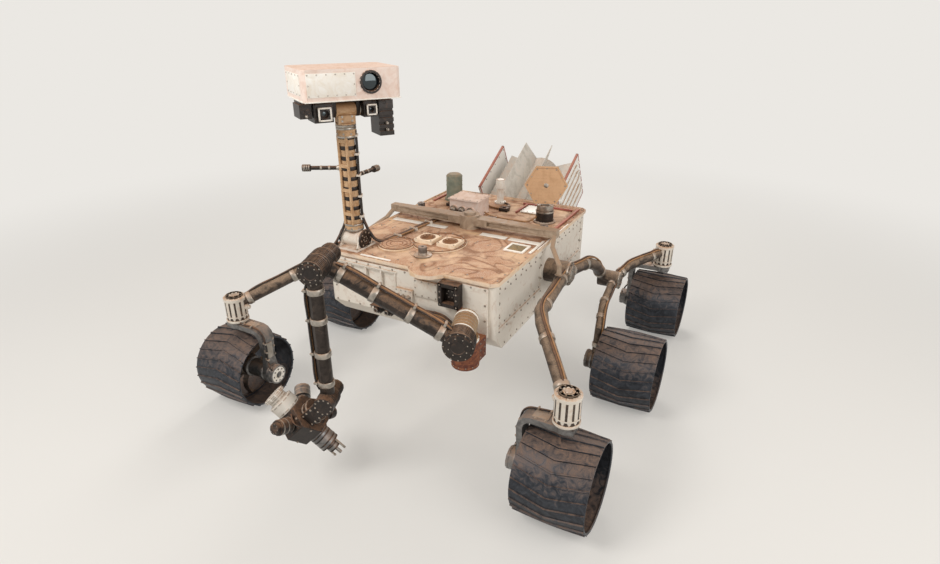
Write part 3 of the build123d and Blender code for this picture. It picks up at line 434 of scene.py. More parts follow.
def lathe(work, local, profile, place=ORIGIN, axis=PLUS_Z, steps=48):
    """Spin a profile of (along, radius) pairs in millimetres about an axis through a place.

    A profile that stops short of the axis is closed: onto the axis, or back to its first point.
    """
    profile = list(profile)
    ends = [profile[0][1] > 0, profile[-1][1] > 0]
    if ends == [True, False]:
        profile.insert(0, (profile[0][0], 0))
    elif ends == [False, True]:
        profile.append((profile[-1][0], 0))
    elif all(ends) and profile[0] != profile[-1]:
        profile.append(profile[0])
    part = bmesh.new()
    start = [part.verts.new((radius * MM, 0, along * MM)) for along, radius in profile]
    edges = [part.edges.new(pair) for pair in zip(start, start[1:])]
    bmesh.ops.spin(part, geom=start + edges, axis=PLUS_Z, angle=2 * math.pi, steps=steps,
                   use_merge=True)
    bmesh.ops.remove_doubles(part, verts=part.verts, dist=0.005 * MM)
    pour(part, work, seat(local, place, axis))


def block(work, local, low, high, edge):
    """A block between two opposite corners, in millimetres, with broken edges."""
    corners = [Vector([pick(pair) * MM for pair in zip(low, high)]) for pick in (min, max)]
    part = bmesh.new()
    bmesh.ops.create_cube(part, size=1.0)
    bmesh.ops.scale(part, vec=corners[1] - corners[0], verts=part.verts)
    bmesh.ops.translate(part, vec=(corners[0] + corners[1]) / 2, verts=part.verts)
    bmesh.ops.bevel(part, geom=part.edges[:], offset=edge * MM, segments=2, profile=0.5,
                    affect="EDGES", material=-1)
    pour(part, work, local)


print("lathe and saw ready")

# %% [markdown]
# Bolts stand in circles round every flange, and bands, ribs and clamps sit on every drum and tube.
# Real heads are hexagons on washers, only a few millimetres high, and they give the model its
# scale. Copies of one bolt could be instanced, but poured into one mesh they stay one piece.

# %% Bolts, rings and clamps


def around(place, axis, radius, count, first=0.0):
    """Places on a circle about an axis, all in millimetres."""
    circle = Matrix.Translation(Vector(place)) @ turn_to(axis)
    angles = [math.radians(first) + 2 * math.pi * i / count for i in range(count)]
    return [circle @ Vector((radius * math.cos(a), radius * math.sin(a), 0)) for a in angles]


def bolts(work, local, places, axis, across):
    """Hexagon heads on round washers, standing on places along an axis."""
    for place in places:
        lathe(work, local, ((-1, 0), (-1, across * 0.85), (1.2, across * 0.85), (1.2, 0)),
              place, axis, 12)
        lathe(work, local, ((0, across * 0.55), (across * 0.5, across * 0.55),
                            (across * 0.62, across * 0.42), (across * 0.62, 0)), place, axis, 6)


def bolt_circle(work, local, centre, axis, radius, count, across, first=0.0):
    """A ring of bolts about an axis, all standing along it."""
    bolts(work, local, around(centre, axis, radius, count, first), axis, across)


def ring(work, local, at, width, inner, outer, place=ORIGIN, axis=PLUS_Z, steps=48):
    """A flat band from one radius out to another, its lower side at a distance along the axis."""
    lathe(work, local, ((at, inner), (at, outer), (at + width, outer), (at + width, inner)),
          place, axis, steps)


def rib(work, local, at, width, inner, outer, place=ORIGIN, axis=PLUS_Z, steps=64):
    """A band like a ring, with sides that slope by one millimetre."""
    lathe(work, local, ((at, inner), (at + 1, outer), (at + width - 1, outer),
                        (at + width, inner)), place, axis, steps)


def clamp(work, local, tube, place, axis, steps):
    """A sleeve with sloped ends round a tube of a radius, its middle on a place."""
    lathe(work, local, ((-16, tube), (-16, tube + 5), (-13, tube + 7), (13, tube + 7),
                        (16, tube + 5), (16, tube)), place, axis, steps)


print("bolts, rings and clamps ready")

# %% [markdown]
# Cable bundles are round and bend softly. A mesh would need many rings of points, while a curve
# with a round bevel needs only the few points where the real bundle is strapped down. Frames for
# bodies that are turned against the hull are made here too.

# %% Cable bundles and turned frames
CABLE_FINISHES = ("cable_dark", "cable_tan", "cable_dark")


def conduit(name, local, points, radius, finish, body="rover"):
    """A cable bundle strapped down along a smooth path through points in millimetres."""
    path = bpy.data.curves.new(name, "CURVE")
    path.dimensions = "3D"
    path.bevel_depth = radius * MM
    path.bevel_resolution = 3
    path.resolution_u = 6
    path.use_fill_caps = True
    line = path.splines.new("BEZIER")
    line.bezier_points.add(len(points) - 1)
    for knot, point in zip(line.bezier_points, points):
        knot.co = local @ (Vector(point) * MM)
        knot.handle_left_type = "AUTO"
        knot.handle_right_type = "AUTO"
    path.materials.append(finishes[finish])
    thing = bpy.data.objects.new(name, path)
    bpy.context.scene.collection.objects.link(thing)
    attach(thing, body)


def turned_about(local, place, axis_letter="Z", degrees=0):
    """A frame moved to a place in millimetres of another frame, then turned about one axis."""
    return local @ Matrix.Translation(Vector(place) * MM) @ Matrix.Rotation(
        math.radians(degrees), 4, axis_letter)


hull = Matrix.Translation((0, SHIFT_Y, 0))
print("cables can be laid")

# %% [markdown]
# Every body of the rover has its own frame, exactly as the engineering model has it: the head
# looks a little to port, and the arm links follow each other from shoulder to turret. With those
# frames at hand a bolt circle on the elbow is written as plainly as one on the deck.

# %% Frames of the moving bodies
# where mast, dish and arm stand, and how high the shoulder and the axles are
MAST_AT = (-470, -700, 0)
DISH_AT = (420, 330, 0)
SHOULDER_AT = (480, -975, 0)
SHOULDER_Z = 895
AXLE_Z = 258
head = turned_about(hull, MAST_AT, "Z", 57)
dish_frame = turned_about(hull, DISH_AT, "Z", 20)
arm = turned_about(hull, SHOULDER_AT, "Z", 200)
upper = turned_about(arm, (0, 0, SHOULDER_Z), "Y", -30)
fore = turned_about(upper, (820, 0, 0), "Y", 120)
wrist = turned_about(fore, (760, 0, 0), "Y", -45)
turret = turned_about(wrist, (153.3, 305, 0))
power = turned_about(hull, (0, 880, 930), "X", 30)

# corner, across, along, turned
wheel_rows = (
    ("front_left", 1150, -1150, 0),
    ("front_right", -1150, -1150, 180),
    ("middle_left", 1200, MIDDLE_WHEEL_Y, 0),
    ("middle_right", -1200, MIDDLE_WHEEL_Y, 180),
    ("rear_left", 1150, 1150, 0),
    ("rear_right", -1150, 1150, 180),
)
wheel_frames = {corner: turned_about(hull, (across, along, AXLE_Z), "Z", turned)
                for corner, across, along, turned in wheel_rows}
print(len(wheel_frames) + 8, "frames")

# %% [markdown]
# The wheel is the rover's signature part: a thin drum machined from one block of aluminium, with
# a slight crown, a rolled lip at each rim and a stiffening hoop where the spokes end. It is spun
# here from one profile, the same way as a lathe would cut it.

# %% Wheel rim
WHEEL_HALF = 200
WHEEL_R = 250


def crown(across):
    """Radius of the drum's skin at a distance from its middle."""
    return WHEEL_R - 9 * (abs(across) / WHEEL_HALF) ** 1.15


rim_outside = [(x, crown(x)) for x in range(-196, 197, 28)]
rim_profile = (
    [(-200, 236), (-200, 240)] + rim_outside + [(200, 240), (200, 236), (197, 229), (193, 228),
     (191, 231), (189, 236), (120, 239.5), (30, 243), (27, 242), (25, 232), (22, 230), (-22, 230),
     (-25, 232), (-27, 242), (-30, 243), (-120, 239.5), (-189, 236), (-191, 231), (-193, 228),
     (-197, 229), (-200, 236)]
)


def make_rim(work, local):
    """The crowned drum with its lips and its hoop."""
    lathe(work, local, rim_profile, ORIGIN, PLUS_X, 120)


print(len(rim_profile), "points in the rim's profile")

# %% [markdown]
# Grip comes from twenty-four raised cleats, each bent in the middle like a chevron, so that some
# part of a cleat always bites the soil. One half cleat is a small trapezoid carried round a helix,
# which is what a spin with a sideways step draws. It is fitted to the crown, mirrored and repeated.

# %% Chevron cleats
CLEATS = 24
CLEAT_HALF = 197
CLEAT_LEAD = 38
CLEAT_STEPS = 8
CLEAT_SWEEP = CLEAT_LEAD / WHEEL_R


def make_cleats(work, local):
    """Chevron cleats on the drum: swept halves, mirrored and repeated round the axis."""
    half = bmesh.new()
    section = [half.verts.new((0, across * MM, up * MM))
               for across, up in ((-6.5, 247), (-3.4, 258), (3.4, 258), (6.5, 247))]
    face = half.faces.new(section)
    bmesh.ops.rotate(half, verts=half.verts, matrix=Matrix.Rotation(CLEAT_SWEEP / 2, 3, "X"))
    bmesh.ops.spin(half, geom=[face], axis=PLUS_X,
                   dvec=(CLEAT_HALF / CLEAT_STEPS * MM, 0, 0), angle=-CLEAT_SWEEP,
                   steps=CLEAT_STEPS)
    for vert in half.verts:
        lift = crown(vert.co.x / MM) - WHEEL_R
        radial = vert.co.yz.length
        vert.co.yz = vert.co.yz * ((radial + lift * MM) / radial)
    inner = [f for f in half.faces if all(abs(v.co.x) < 1e-6 for v in f.verts)]
    bmesh.ops.delete(half, geom=inner, context="FACES_ONLY")
    bmesh.ops.mirror(half, geom=half.verts[:] + half.edges[:] + half.faces[:], axis="X",
                     merge_dist=0.01 * MM)
    bmesh.ops.spin(half, geom=half.verts[:] + half.edges[:] + half.faces[:], axis=PLUS_X,
                   angle=2 * math.pi, steps=CLEATS, use_duplicate=True)
    bmesh.ops.remove_doubles(half, verts=half.verts, dist=0.01 * MM)
    pour(half, work, local)


print("cleats sweep", round(math.degrees(CLEAT_SWEEP), 1), "degrees")

# %% [markdown]
# Eight curved titanium flexures carry the drum on its hub and give a little when the wheel drops
# off a ledge. Each is a flat strip bent to an arc, bolted to the hoop through a foot. A rectangle
# spun about the arc's own centre makes the bend with even thickness.

# %% Curved spokes and hub
SPOKES = 8
# the bend: its centre, from the wheel's axis, and the radius from there
BEND_CENTRE = (155.5, -82.0)
BEND_RADIUS = 119.0
# where a strip leaves the hub, how thick it is and how far it bends
SPOKE_ROOT = 70.0
SPOKE_THICK = 6
SPOKE_BEND = math.radians(88)


def make_spokes(work, local):
    """Eight bent strips with a foot at the hoop and two bolts in each foot."""
    inner, outer = BEND_RADIUS - SPOKE_THICK / 2, BEND_RADIUS + SPOKE_THICK / 2
    for number in range(SPOKES):
        turned = local @ Matrix.Rotation(2 * math.pi * number / SPOKES, 4, "X")
        strip = bmesh.new()
        out = Vector((SPOKE_ROOT - BEND_CENTRE[0], -BEND_CENTRE[1])).normalized()
        section = [
            strip.verts.new((across * MM, (BEND_CENTRE[0] + out.x * reach) * MM,
                            (BEND_CENTRE[1] + out.y * reach) * MM))
            for across, reach in ((-22, inner), (22, inner), (22, outer), (-22, outer))
        ]
        face = strip.faces.new(section)
        bmesh.ops.spin(strip, geom=[face], cent=(0, BEND_CENTRE[0] * MM, BEND_CENTRE[1] * MM),
                       axis=PLUS_X, angle=-SPOKE_BEND, steps=14)
        pour(strip, work, turned)
        block(work, turned, (-23, 226, -20), (23, 233, 16), 1.5)
        bolts(work, turned, ((-14, 226, -12), (14, 226, -12)), MINUS_Y, 8)


hub_profile = ((-59.5, 0), (-59.5, 60), (-56, 64), (-30, 64), (-26, 74), (-22, 78), (22, 78),
               (26, 74), (30, 66), (42, 66), (46, 62), (46, 46), (40, 42), (40, 24), (48, 22),
               (50, 18), (50, 0))


def make_hub(work, local):
    """The hub drum with its recessed face, bolt circle and axle cap."""
    lathe(work, local, hub_profile, ORIGIN, PLUS_X, 56)
    bolt_circle(work, local, (46, 0, 0), PLUS_X, 54, 8, 9, 22.5)
    bolt_circle(work, local, (40, 0, 0), PLUS_X, 33, 6, 7)


print("spokes and hub ready")

# %% [markdown]
# All six wheels are alike, and those on the far side are turned by half a turn. A mirrored copy
# would save time, but a wheel built in the frame of its own corner sits right at once. The drum
# is dark anodised and the flexures are bare titanium, so they are two pieces that ride together.

# %% Six wheels
for corner, local in wheel_frames.items():
    body = "wheel_" + corner
    drum = bmesh.new()
    make_rim(drum, local)
    make_cleats(drum, local)
    new_piece(body + "_drum", drum, "wheel_aluminium", body, [body])
    centre = bmesh.new()
    make_spokes(centre, local)
    make_hub(centre, local)
    new_piece(body + "_spokes", centre, "spoke_titanium", body)
print("wheels built:", len(wheel_frames))

# %% [markdown]
# Each corner wheel hangs from a machined bracket. Its drive is bolted through the lower eye with a
# ring of bolts, a stepped end cap closes the motor, and a cable bundle climbs the bracket to the
# steering drive. The bundle is strapped down, so it turns with the bracket as one stiff piece.

# %% Corner brackets and wheel drives
for corner, local in wheel_frames.items():
    middle = corner.startswith("middle")
    body = "rover" if middle else "knuckle_" + corner
    cap = bmesh.new()
    lathe(cap, local, ((-300, 0), (-300, 22), (-306, 24), (-308, 30), (-304, 34), (-303, 50),
                       (-299, 55), (-290, 55)), ORIGIN, PLUS_X, 48)
    new_piece(corner + "_drive_cap", cap, "bright_white_paint", body)
    drive = bmesh.new()
    bolt_circle(drive, local, (-303, 0, 0), MINUS_X, 42, 8, 7)
    ring(drive, local, -292, 6, 60, 65, axis=PLUS_X)
    ring(drive, local, -262, 10, 60, 68, axis=PLUS_X)
    lathe(drive, local, ((-214, 50), (-214, 62), (-208, 66), (-190, 66), (-186, 58), (-80, 58),
                         (-76, 70), (-66, 70), (-62, 60), (-62, 50)), ORIGIN, PLUS_X, 48)
    bolts(drive, local, around((-66, 0, 0), PLUS_X, 64, 8, 22.5), MINUS_X, 7)
    new_piece(corner + "_drive_rings", drive, "machined_aluminium", body)
    if middle:
        continue
    plate = bmesh.new()
    side_bolts = [(-252, y, z) for y in (-40, 40) for z in (130, 190, 246)]
    bolts(plate, local, side_bolts, MINUS_X, 9)
    bolts(plate, local, [(x, y, 335) for x in (-150, -96) for y in (-38, 38)], PLUS_Z, 10)
    block(plate, local, (-256, -24, 120), (-249, 24, 232), 3)
    block(plate, local, (-172, -30, 333), (-84, 30, 339), 3)
    new_piece(corner + "_bracket_bolts", plate, "bare_machined", body)
    conduit(corner + "_drive_cable", local,
            ((-292, 28, 30), (-284, 46, 66), (-262, 36, 100), (-262, 34, 240), (-228, 34, 322),
             (-150, 34, 343), (-70, 40, 345), (-52, 30, 352)), 6, "cable_dark", body)
    straps = bmesh.new()
    for z in (118, 176, 240):
        block(straps, local, (-270, 24, z - 5), (-250, 44, z + 5), 1.5)
    for x in (-160, -90):
        block(straps, local, (x - 5, 24, 334), (x + 5, 46, 352), 1.5)
    new_piece(corner + "_cable_straps", straps, "bare_machined", body)
print("corner drives dressed")

# %% [markdown]
# The four steering drives stand upright at the ends of the suspension. On the real machine each is
# a turned housing with a flange, a bolted cap and a round connector on its side. Rings and bolts
# are turned over the engineering model's faceted housing, which then reads as round.

# %% Steering drives
CAP_Z = 785
for corner, across, along, _ in wheel_rows:
    if corner.startswith("middle"):
        continue
    inward = -1 if across > 0 else 1
    post = turned_about(hull, (across, along, 0))
    steer = bmesh.new()
    lathe(steer, post, ((601, 58), (601, 70), (604, 72), (616, 72), (619, 70), (619, 66), (640, 67),
                        (640, 69), (648, 69), (648, 67), (750, 67), (752, 71), (770, 71), (774, 66),
                        (774, 50), (CAP_Z, 50), (CAP_Z, 33), (CAP_Z - 6, 32), (CAP_Z - 6, 0)),
          ORIGIN, PLUS_Z, 64)
    bolt_circle(steer, post, (0, 0, 774), PLUS_Z, 59, 12, 8, 15)
    lathe(steer, post, ((0, 0), (0, 20), (26, 20), (28, 17), (28, 13), (40, 13), (42, 10), (42, 0)),
          (52 * inward, 22, 700), (inward, 0.4, 0), 24)
    new_piece(corner + "_steering_drive", steer, "white_drive_paint")
    cap = bmesh.new()
    lathe(cap, post, ((CAP_Z - 6, 0), (CAP_Z - 6, 20), (CAP_Z - 2, 20), (CAP_Z + 1, 17),
                      (CAP_Z + 1, 0)), steps=32)
    bolt_circle(cap, post, (0, 0, CAP_Z), PLUS_Z, 42, 8, 6)
    new_piece(corner + "_steering_cap", cap, "bare_machined")
print("steering drives dressed")

# %% [markdown]
# The rocker and the bogie are bent titanium tubes. Every joint between tube and housing is a
# bolted clamp, and the wheel cables lie on the tubes' skin and end in the housings. The clamps are
# short turned sleeves along each run, and each bundle follows the run at one tube radius above it.

# %% Runs of the suspension tube
ROCKER_PIVOT = (720, -20, 890)
BOGIE_PIVOT = (900, 590, 640)
# run: name, radius of the tube, then the points that the tube's own middle passes
suspension_runs = (
    ("front", 38, (ROCKER_PIVOT, (790, -630, 900), (850, -760, 890), (1130, -1130, 723))),
    ("back", 38, (ROCKER_PIVOT, (775, 290, 860), (805, 400, 805), (820, 590, 640))),
    ("rear", 34, (BOGIE_PIVOT, (960, 770, 695), (1020, 880, 710), (1135, 1135, 710))),
    ("down", 25, (BOGIE_PIVOT, (930, 220, 595), (960, 60, 490), (960, MIDDLE_WHEEL_Y, AXLE_Z))),
)
# how far the last spot of a cable goes into its housing
END_SINK = 22


def along_run(a, b, share):
    """The point at a share of the way from one point to another."""
    return tuple(p + (q - p) * share for p, q in zip(a, b))


def beside_run(spots, lift, aside, up):
    """Spots moved from a tube's middle onto its skin, square to the run; the last one sinks in."""
    laid = []
    for i, spot in enumerate(spots):
        run = Vector(spots[min(i + 1, len(spots) - 1)]) - Vector(spots[max(i - 1, 0)])
        run.normalize()
        out = (up - run * up.dot(run)).normalized()
        across = run.cross(out)
        if across.x * spot[0] < 0:
            across.negate()
        height = lift - END_SINK if i == len(spots) - 1 else lift
        laid.append(tuple(Vector(spot) + out * height + across * aside))
    return laid


print(len(suspension_runs), "runs of tube on each side")

# %% [markdown]
# Each straight part of a run gets two clamps, or one where it is short, and the whole run two
# cables side by side, a thick dark one and a thinner tan one. Laying them on the tube's skin by
# arithmetic, instead of by eye, keeps them from sinking into a sloping tube.

# %% Tube clamps and wheel cables
SIDES = (("left", 1), ("right", -1))
for side, hand in SIDES:
    clamps = bmesh.new()
    for name, radius, points in suspension_runs:
        points = [(hand * x, y, z) for x, y, z in points]
        for a, b in zip(points, points[1:]):
            run = Vector(b) - Vector(a)
            if run.length < 170:
                continue
            for share in ((0.22, 0.86) if run.length > 300 else (0.5,)):
                clamp(clamps, hull, radius, along_run(a, b, share), run, 36)
        first, second, third, last = points
        spots = [along_run(first, second, share) for share in (0.1, 0.6)] + [second, third]
        spots += [along_run(third, last, share) for share in (0.4, 0.78, 0.95)]
        up = Vector((hand, 0, 0)) if name == "down" else Vector(PLUS_Z)
        for word, lift, aside, thick, finish in (("_wheel_cable", 8, 0, 7, "cable_dark"),
                                                 ("_second_cable", 4, 13, 5, "cable_tan")):
            conduit(side + "_" + name + word, hull, beside_run(spots, radius + lift, aside, up),
                    thick, finish)
    new_piece(side + "_tube_clamps", clamps, "bare_machined")
print("suspension clamped and wired")

# %% [markdown]
# The rocker swings on the body and the bogie on the rocker. Each pivot ends in a turned cap with
# one or two circles of bolts. The cap is spun over the engineering model's many-sided drum, a
# little larger, and hides its corners.

# %% Pivot caps
for side, hand in SIDES:
    pivots = bmesh.new()
    lathe(pivots, hull, ((0, 78), (4, 82), (12, 82), (16, 78), (16, 58), (30, 56), (32, 50),
                         (32, 0)), (hand * 741, -20, 890), (hand, 0, 0), 64)
    bolt_circle(pivots, hull, (hand * 757, -20, 890), (hand, 0, 0), 67, 12, 10)
    bolt_circle(pivots, hull, (hand * 772, -20, 890), (hand, 0, 0), 38, 6, 10)
    lathe(pivots, hull, ((0, 50), (0, 64), (4, 66), (10, 66), (12, 62), (12, 0)),
          (hand * 940, 590, 640), (hand, 0, 0), 56)
    bolt_circle(pivots, hull, (hand * 952, 590, 640), (hand, 0, 0), 48, 8, 9)
    new_piece(side + "_pivot_caps", pivots, "bare_machined")
print("pivots capped")

# %% [markdown]
# The warm box is closed by machined covers, each held by an even row of bolts round its edge. Rows
# of bolts are also what gives the deck its scale. One function walks round a rectangle and returns
# the places, and every cover on the body uses it.

# %% Bolt rows of the body and deck
DECK = 1096


def border(low, high, level, spacing, plane="Z"):
    """Evenly spaced places round a rectangle, in the plane that an axis stands upright on."""
    (u0, v0), (u1, v1) = low, high
    across = max(1, round((u1 - u0) / spacing))
    along = max(1, round((v1 - v0) / spacing))
    flat = [(u0 + (u1 - u0) * i / across, v) for i in range(across + 1) for v in (v0, v1)]
    flat += [(u, v0 + (v1 - v0) * i / along) for i in range(1, along) for u in (u0, u1)]
    order = {"Z": lambda u, v: (u, v, level), "Y": lambda u, v: (u, level, v),
             "X": lambda u, v: (level, u, v)}[plane]
    return [order(u, v) for u, v in flat]


deck_bolts = bmesh.new()
bolts(deck_bolts, hull, border((-575, -770), (575, 715), DECK, 96), PLUS_Z, 8)
bolts(deck_bolts, hull, border((-560, -266), (560, -294), DECK, 96), PLUS_Z, 7)
bolts(deck_bolts, hull, border((-560, 196), (560, 224), DECK, 96), PLUS_Z, 7)
new_piece("deck_bolts", deck_bolts, "bare_machined")

side_bolts = bmesh.new()
for hand in (1, -1):
    for y0, y1 in ((-755, -145), (105, 665)):
        bolts(side_bolts, hull, border((y0, 806), (y1, 1014), hand * 582, 76, "X"),
              (hand, 0, 0), 8)
        bolts(side_bolts, hull, border((y0 - 12, 774), (y1 + 12, 1052), hand * 590, 100, "X"),
              (hand, 0, 0), 8)
    bolts(side_bolts, hull, [(hand * 590, y, 668) for y in range(-690, 660, 90)], (hand, 0, 0), 8)
bolts(side_bolts, hull, border((-535, 770), (535, 1060), -844, 88, "Y"), MINUS_Y, 8)
bolts(side_bolts, hull, border((-550, 720), (550, 1060), 740, 92, "Y"), PLUS_Y, 8)
new_piece("body_side_bolts", side_bolts, "bare_machined")
print("deck and body bolts in place")

# %% [markdown]
# The mast is a composite tube that folds down for the journey. Bands of dark tape hold its
# harness, bright rings clamp its ends, and two dark discs close the hinge at its foot. Painted
# stripes would do from afar, but turned bands stand proud of the tube and catch the light.

# %% Mast bands and foot
mast = turned_about(hull, MAST_AT)
bands = bmesh.new()
for z in range(1284, 1790, 62):
    lathe(bands, mast, ((z, 44), (z, 46.6), (z + 2, 47.4), (z + 22, 47.4), (z + 24, 46.6),
                        (z + 24, 44)))
new_piece("mast_tape_bands", bands, "dark_housing")

mast_metal = bmesh.new()
for z in (1212, 1246, 1790, 1838):
    lathe(mast_metal, mast, ((z, 54), (z, 59.5), (z + 2, 60.5), (z + 10, 60.5), (z + 12, 59.5),
                             (z + 12, 54)))
for z in (1229, 1814):
    for place in around((0, 0, z), PLUS_Z, 57, 8, 22.5):
        bolts(mast_metal, mast, [place], (place[0], place[1], 0), 8)
discs = bmesh.new()
for hand in (1, -1):
    lathe(discs, mast, ((0, 60), (3, 62), (9, 62), (12, 58), (12, 30), (7, 28), (7, 0)),
          (hand * 73, 0, 1156), (hand, 0, 0), 48)
    bolts(mast_metal, mast, around((hand * 85, 0, 1156), PLUS_X, 46, 8), (hand, 0, 0), 7)
    bolts(mast_metal, mast, around((hand * 80, 0, 1156), PLUS_X, 16, 6), (hand, 0, 0), 6)
new_piece("mast_foot_discs", discs, "dark_housing")
bolts(mast_metal, mast, [(x, y, 1110) for x in (-74, 74) for y in (-84, 0, 84)], PLUS_Z, 11)
new_piece("mast_fittings", mast_metal, "bare_machined")

print("mast bands and foot dressed")

# %% [markdown]
# Power and signals for the head run down the mast in bundles. Three follow one side, bend onto
# the deck and cross it to the plug box; one comes down the far side, and one goes over the nose.
# Each is a curve through the points where clips hold it, so it stays stiff as on the real mast.

# %% Mast harness
for number, (offset, radius) in enumerate(((0, 8), (15, 6), (-14, 6))):
    shift = Vector((-0.5, 0.86, 0)) * offset
    route = [Vector(p) + shift for p in (
        (46, 27, 1832), (48, 28, 1760), (46, 27, 1560), (47, 28, 1380), (50, 30, 1290),
        (62, 40, 1236), (78, 60, 1178), (92, 92, 1128), (112, 132, 1108))]
    route += [(x + offset * spread, y, z) for x, y, z, spread in (
        (128, 200, 1107, 0.6), (150, 330, 1106, 0.8), (166, 520, 1106, 1), (196, 700, 1106, 1),
        (230, 790, 1107, 1), (262, 846, 1122, 1), (266, 856, 1142, 1))]
    conduit("mast_harness_%d" % number, mast, route, radius, CABLE_FINISHES[number])
conduit("mast_far_harness", mast, (
    (-38, -30, 1836), (-40, -32, 1700), (-38, -31, 1540), (-40, -32, 1400), (-42, -34, 1270),
    (-54, -44, 1226), (-72, -60, 1180), (-86, -84, 1130), (-96, -60, 1106)), 8, "cable_dark")
conduit("mast_foot_cable", mast, (
    (-50, -42, 1226), (-70, -74, 1170), (-84, -112, 1128), (-88, -136, 1108), (-90, -152, 1086),
    (-88, -154, 1040), (-82, -152, 1000), (-80, -128, 985)), 6, "cable_dark")
clips = bmesh.new()
for z in (1300, 1430, 1560, 1690, 1800):
    block(clips, turned_about(mast, ORIGIN, "Z", 219), (36, -14, z - 6), (60, 14, z + 6), 2)
    block(clips, turned_about(mast, ORIGIN, "Z", 30), (40, -24, z - 7), (66, 26, z + 7), 2)
for x, y, turn in ((142, 262, 5), (160, 430, 5), (176, 600, 8)):
    saddle = turned_about(mast, (x, y, DECK), "Z", -turn)
    block(clips, saddle, (-30, -7, 0), (34, 7, 22), 2)
    bolts(clips, saddle, ((-24, 0, 22), (28, 0, 22)), PLUS_Z, 7)
new_piece("mast_cable_clips", clips, "white_drive_paint")
print("mast wired;", len(bpy.data.curves), "cable runs so far in the scene")

# %% [markdown]
# The mast's two booms carry wind and humidity sensors: a slim rod, a fatter body and a few tiny
# dark pins at its tip. They are short, yet their silhouette tells what the machine is.

# %% Sensor booms
boom_fine = bmesh.new()
for below, heading in ((245, 210), (305, 90)):
    run = Vector((math.cos(math.radians(heading)), math.sin(math.radians(heading)), 0))
    start = run * 44 + Vector((0, 0, 1850 - below))
    lathe(boom_fine, mast, ((-4, 0), (-4, 26), (6, 26), (9, 20), (30, 14), (34, 12)),
          start, run, 32)
    for reach in (70, 120):
        ring(boom_fine, mast, reach, 12, 11, 14, start, run, 24)
    for reach in (194, 206, 218, 228):
        ring(boom_fine, mast, reach, 5, 19, 22, start, run, 32)
new_piece("sensor_boom_rings", boom_fine, "bare_machined")
print("booms dressed")

# %% [markdown]
# The head looks back at the viewer. Its round window hides a telescope: a ring with bolts, a dark
# baffle and a curved pane. Below it two square camera eyes sit behind small glass lenses. Every
# lens is a turned stack, because real ones are, and the glass is dark, smooth and very slightly
# domed, so it always catches one clean highlight.

# %% Telescope window and camera lenses


def dome(base, rise, radius, steps):
    """The profile of a domed pane, from its top on the axis down to its rim."""
    turns = [step * math.pi / 2 / steps for step in range(steps + 1)]
    return [(base + rise * math.cos(turn), radius * math.sin(turn)) for turn in turns]


def lens(metal, clear, local, place, axis, radius):
    """A stepped lens ring around a domed pane, facing along an axis."""
    lathe(metal, local, ((-2, radius * 1.3), (2, radius * 1.3), (3, radius * 1.22),
                         (3, radius * 1.06), (-3, radius * 0.98), (-3, radius * 0.8)),
          place, axis, 40)
    lathe(clear, local, dome(-4, 3.5, radius, 6) + [(-7, radius), (-7, 0)], place, axis, 40)


head_metal = bmesh.new()
head_glass = bmesh.new()
window = (100, -212, 2115)
lathe(head_metal, head, ((-60, 0), (-60, 61), (-2, 63), (1, 61), (1, 51), (-6, 49.5), (-30, 46),
                         (-56, 44), (-56, 20), (-50, 18), (-50, 0)), window, MINUS_Y, 64)
bolt_circle(head_metal, head, (100, -212.5, 2115), MINUS_Y, 56, 8, 6, 22.5)
lathe(head_glass, head, dome(-22, 8, 48, 8) + [(-26, 48), (-26, 0)], window, MINUS_Y, 64)
lens(head_metal, head_glass, head, (-150, -101, 1946), MINUS_Y, 15)
lens(head_metal, head_glass, head, (128, -96, 1954), MINUS_Y, 11)
for x in (-262, -232):
    lens(head_metal, head_glass, head, (x, -80, 1962), MINUS_Y, 10)
lens(head_metal, head_glass, head, (214, -95, 1986), MINUS_Y, 7)
new_piece("head_lens_rings", head_metal, "dark_housing", "mast_head")
new_piece("head_lenses", head_glass, "coated_glass", "mast_head")
print("telescope window and camera lenses turned")

# %% [markdown]
# The telescope's box is thin painted sheet on a frame: raised cover plates, a bright lower lip and
# screws along every edge. The plates are thin blocks a few millimetres proud of the box, because a
# real step throws a fine shadow that a drawn line can't. Turned discs close the tilt bearings.

# %% Head box and tilt bearings
head_sheet = bmesh.new()
block(head_sheet, head, (-276, -205, 2020), (276, -199, 2027), 1)
block(head_sheet, head, (-283, -180, 2021), (-279, 160, 2030), 1)
block(head_sheet, head, (-258, -202.5, 2046), (14, -199, 2170), 1.5)
for side in (-1, 1):
    block(head_sheet, head, (side * 279, -150, 2050), (side * 281.5, 130, 2165), 1)
    block(head_sheet, head, (side * 134 - 118, 179, 2048), (side * 134 + 118, 182.5, 2168), 1)
new_piece("head_box_panels", head_sheet, "bright_white_paint", "mast_head")
head_screws = bmesh.new()
bolts(head_screws, head, border((-250, 2054), (6, 2162), -202.5, 50, "Y"), MINUS_Y, 5)
for side in (-1, 1):
    bolts(head_screws, head, border((-142, 2058), (122, 2157), side * 281, 66, "X"),
          (side, 0, 0), 5)
    bolts(head_screws, head,
          border((side * 134 - 108, 2057), (side * 134 + 108, 2160), 182.5, 54, "Y"), PLUS_Y, 5)
    lathe(head_screws, head, ((0, 40), (3, 41), (8, 41), (11, 37), (11, 24), (7, 22), (7, 0)),
          (side * 82, 0, 1950), (side, 0, 0), 48)
    bolt_circle(head_screws, head, (side * 92, 0, 1950), (side, 0, 0), 31, 8, 6)
bolts(head_screws, head, [(x, -66, 2010) for x in range(-250, 260, 50)], MINUS_Y, 6)
for x, z in ((-30, 2070), (30, 2070), (0, 2110)):
    lathe(head_screws, head, ((0, 14), (5, 14), (6, 11), (16, 11), (18, 8), (18, 0)), (x, 181, z),
          PLUS_Y, 24)
new_piece("head_screws", head_screws, "bare_machined", "mast_head")
print("head box dressed")

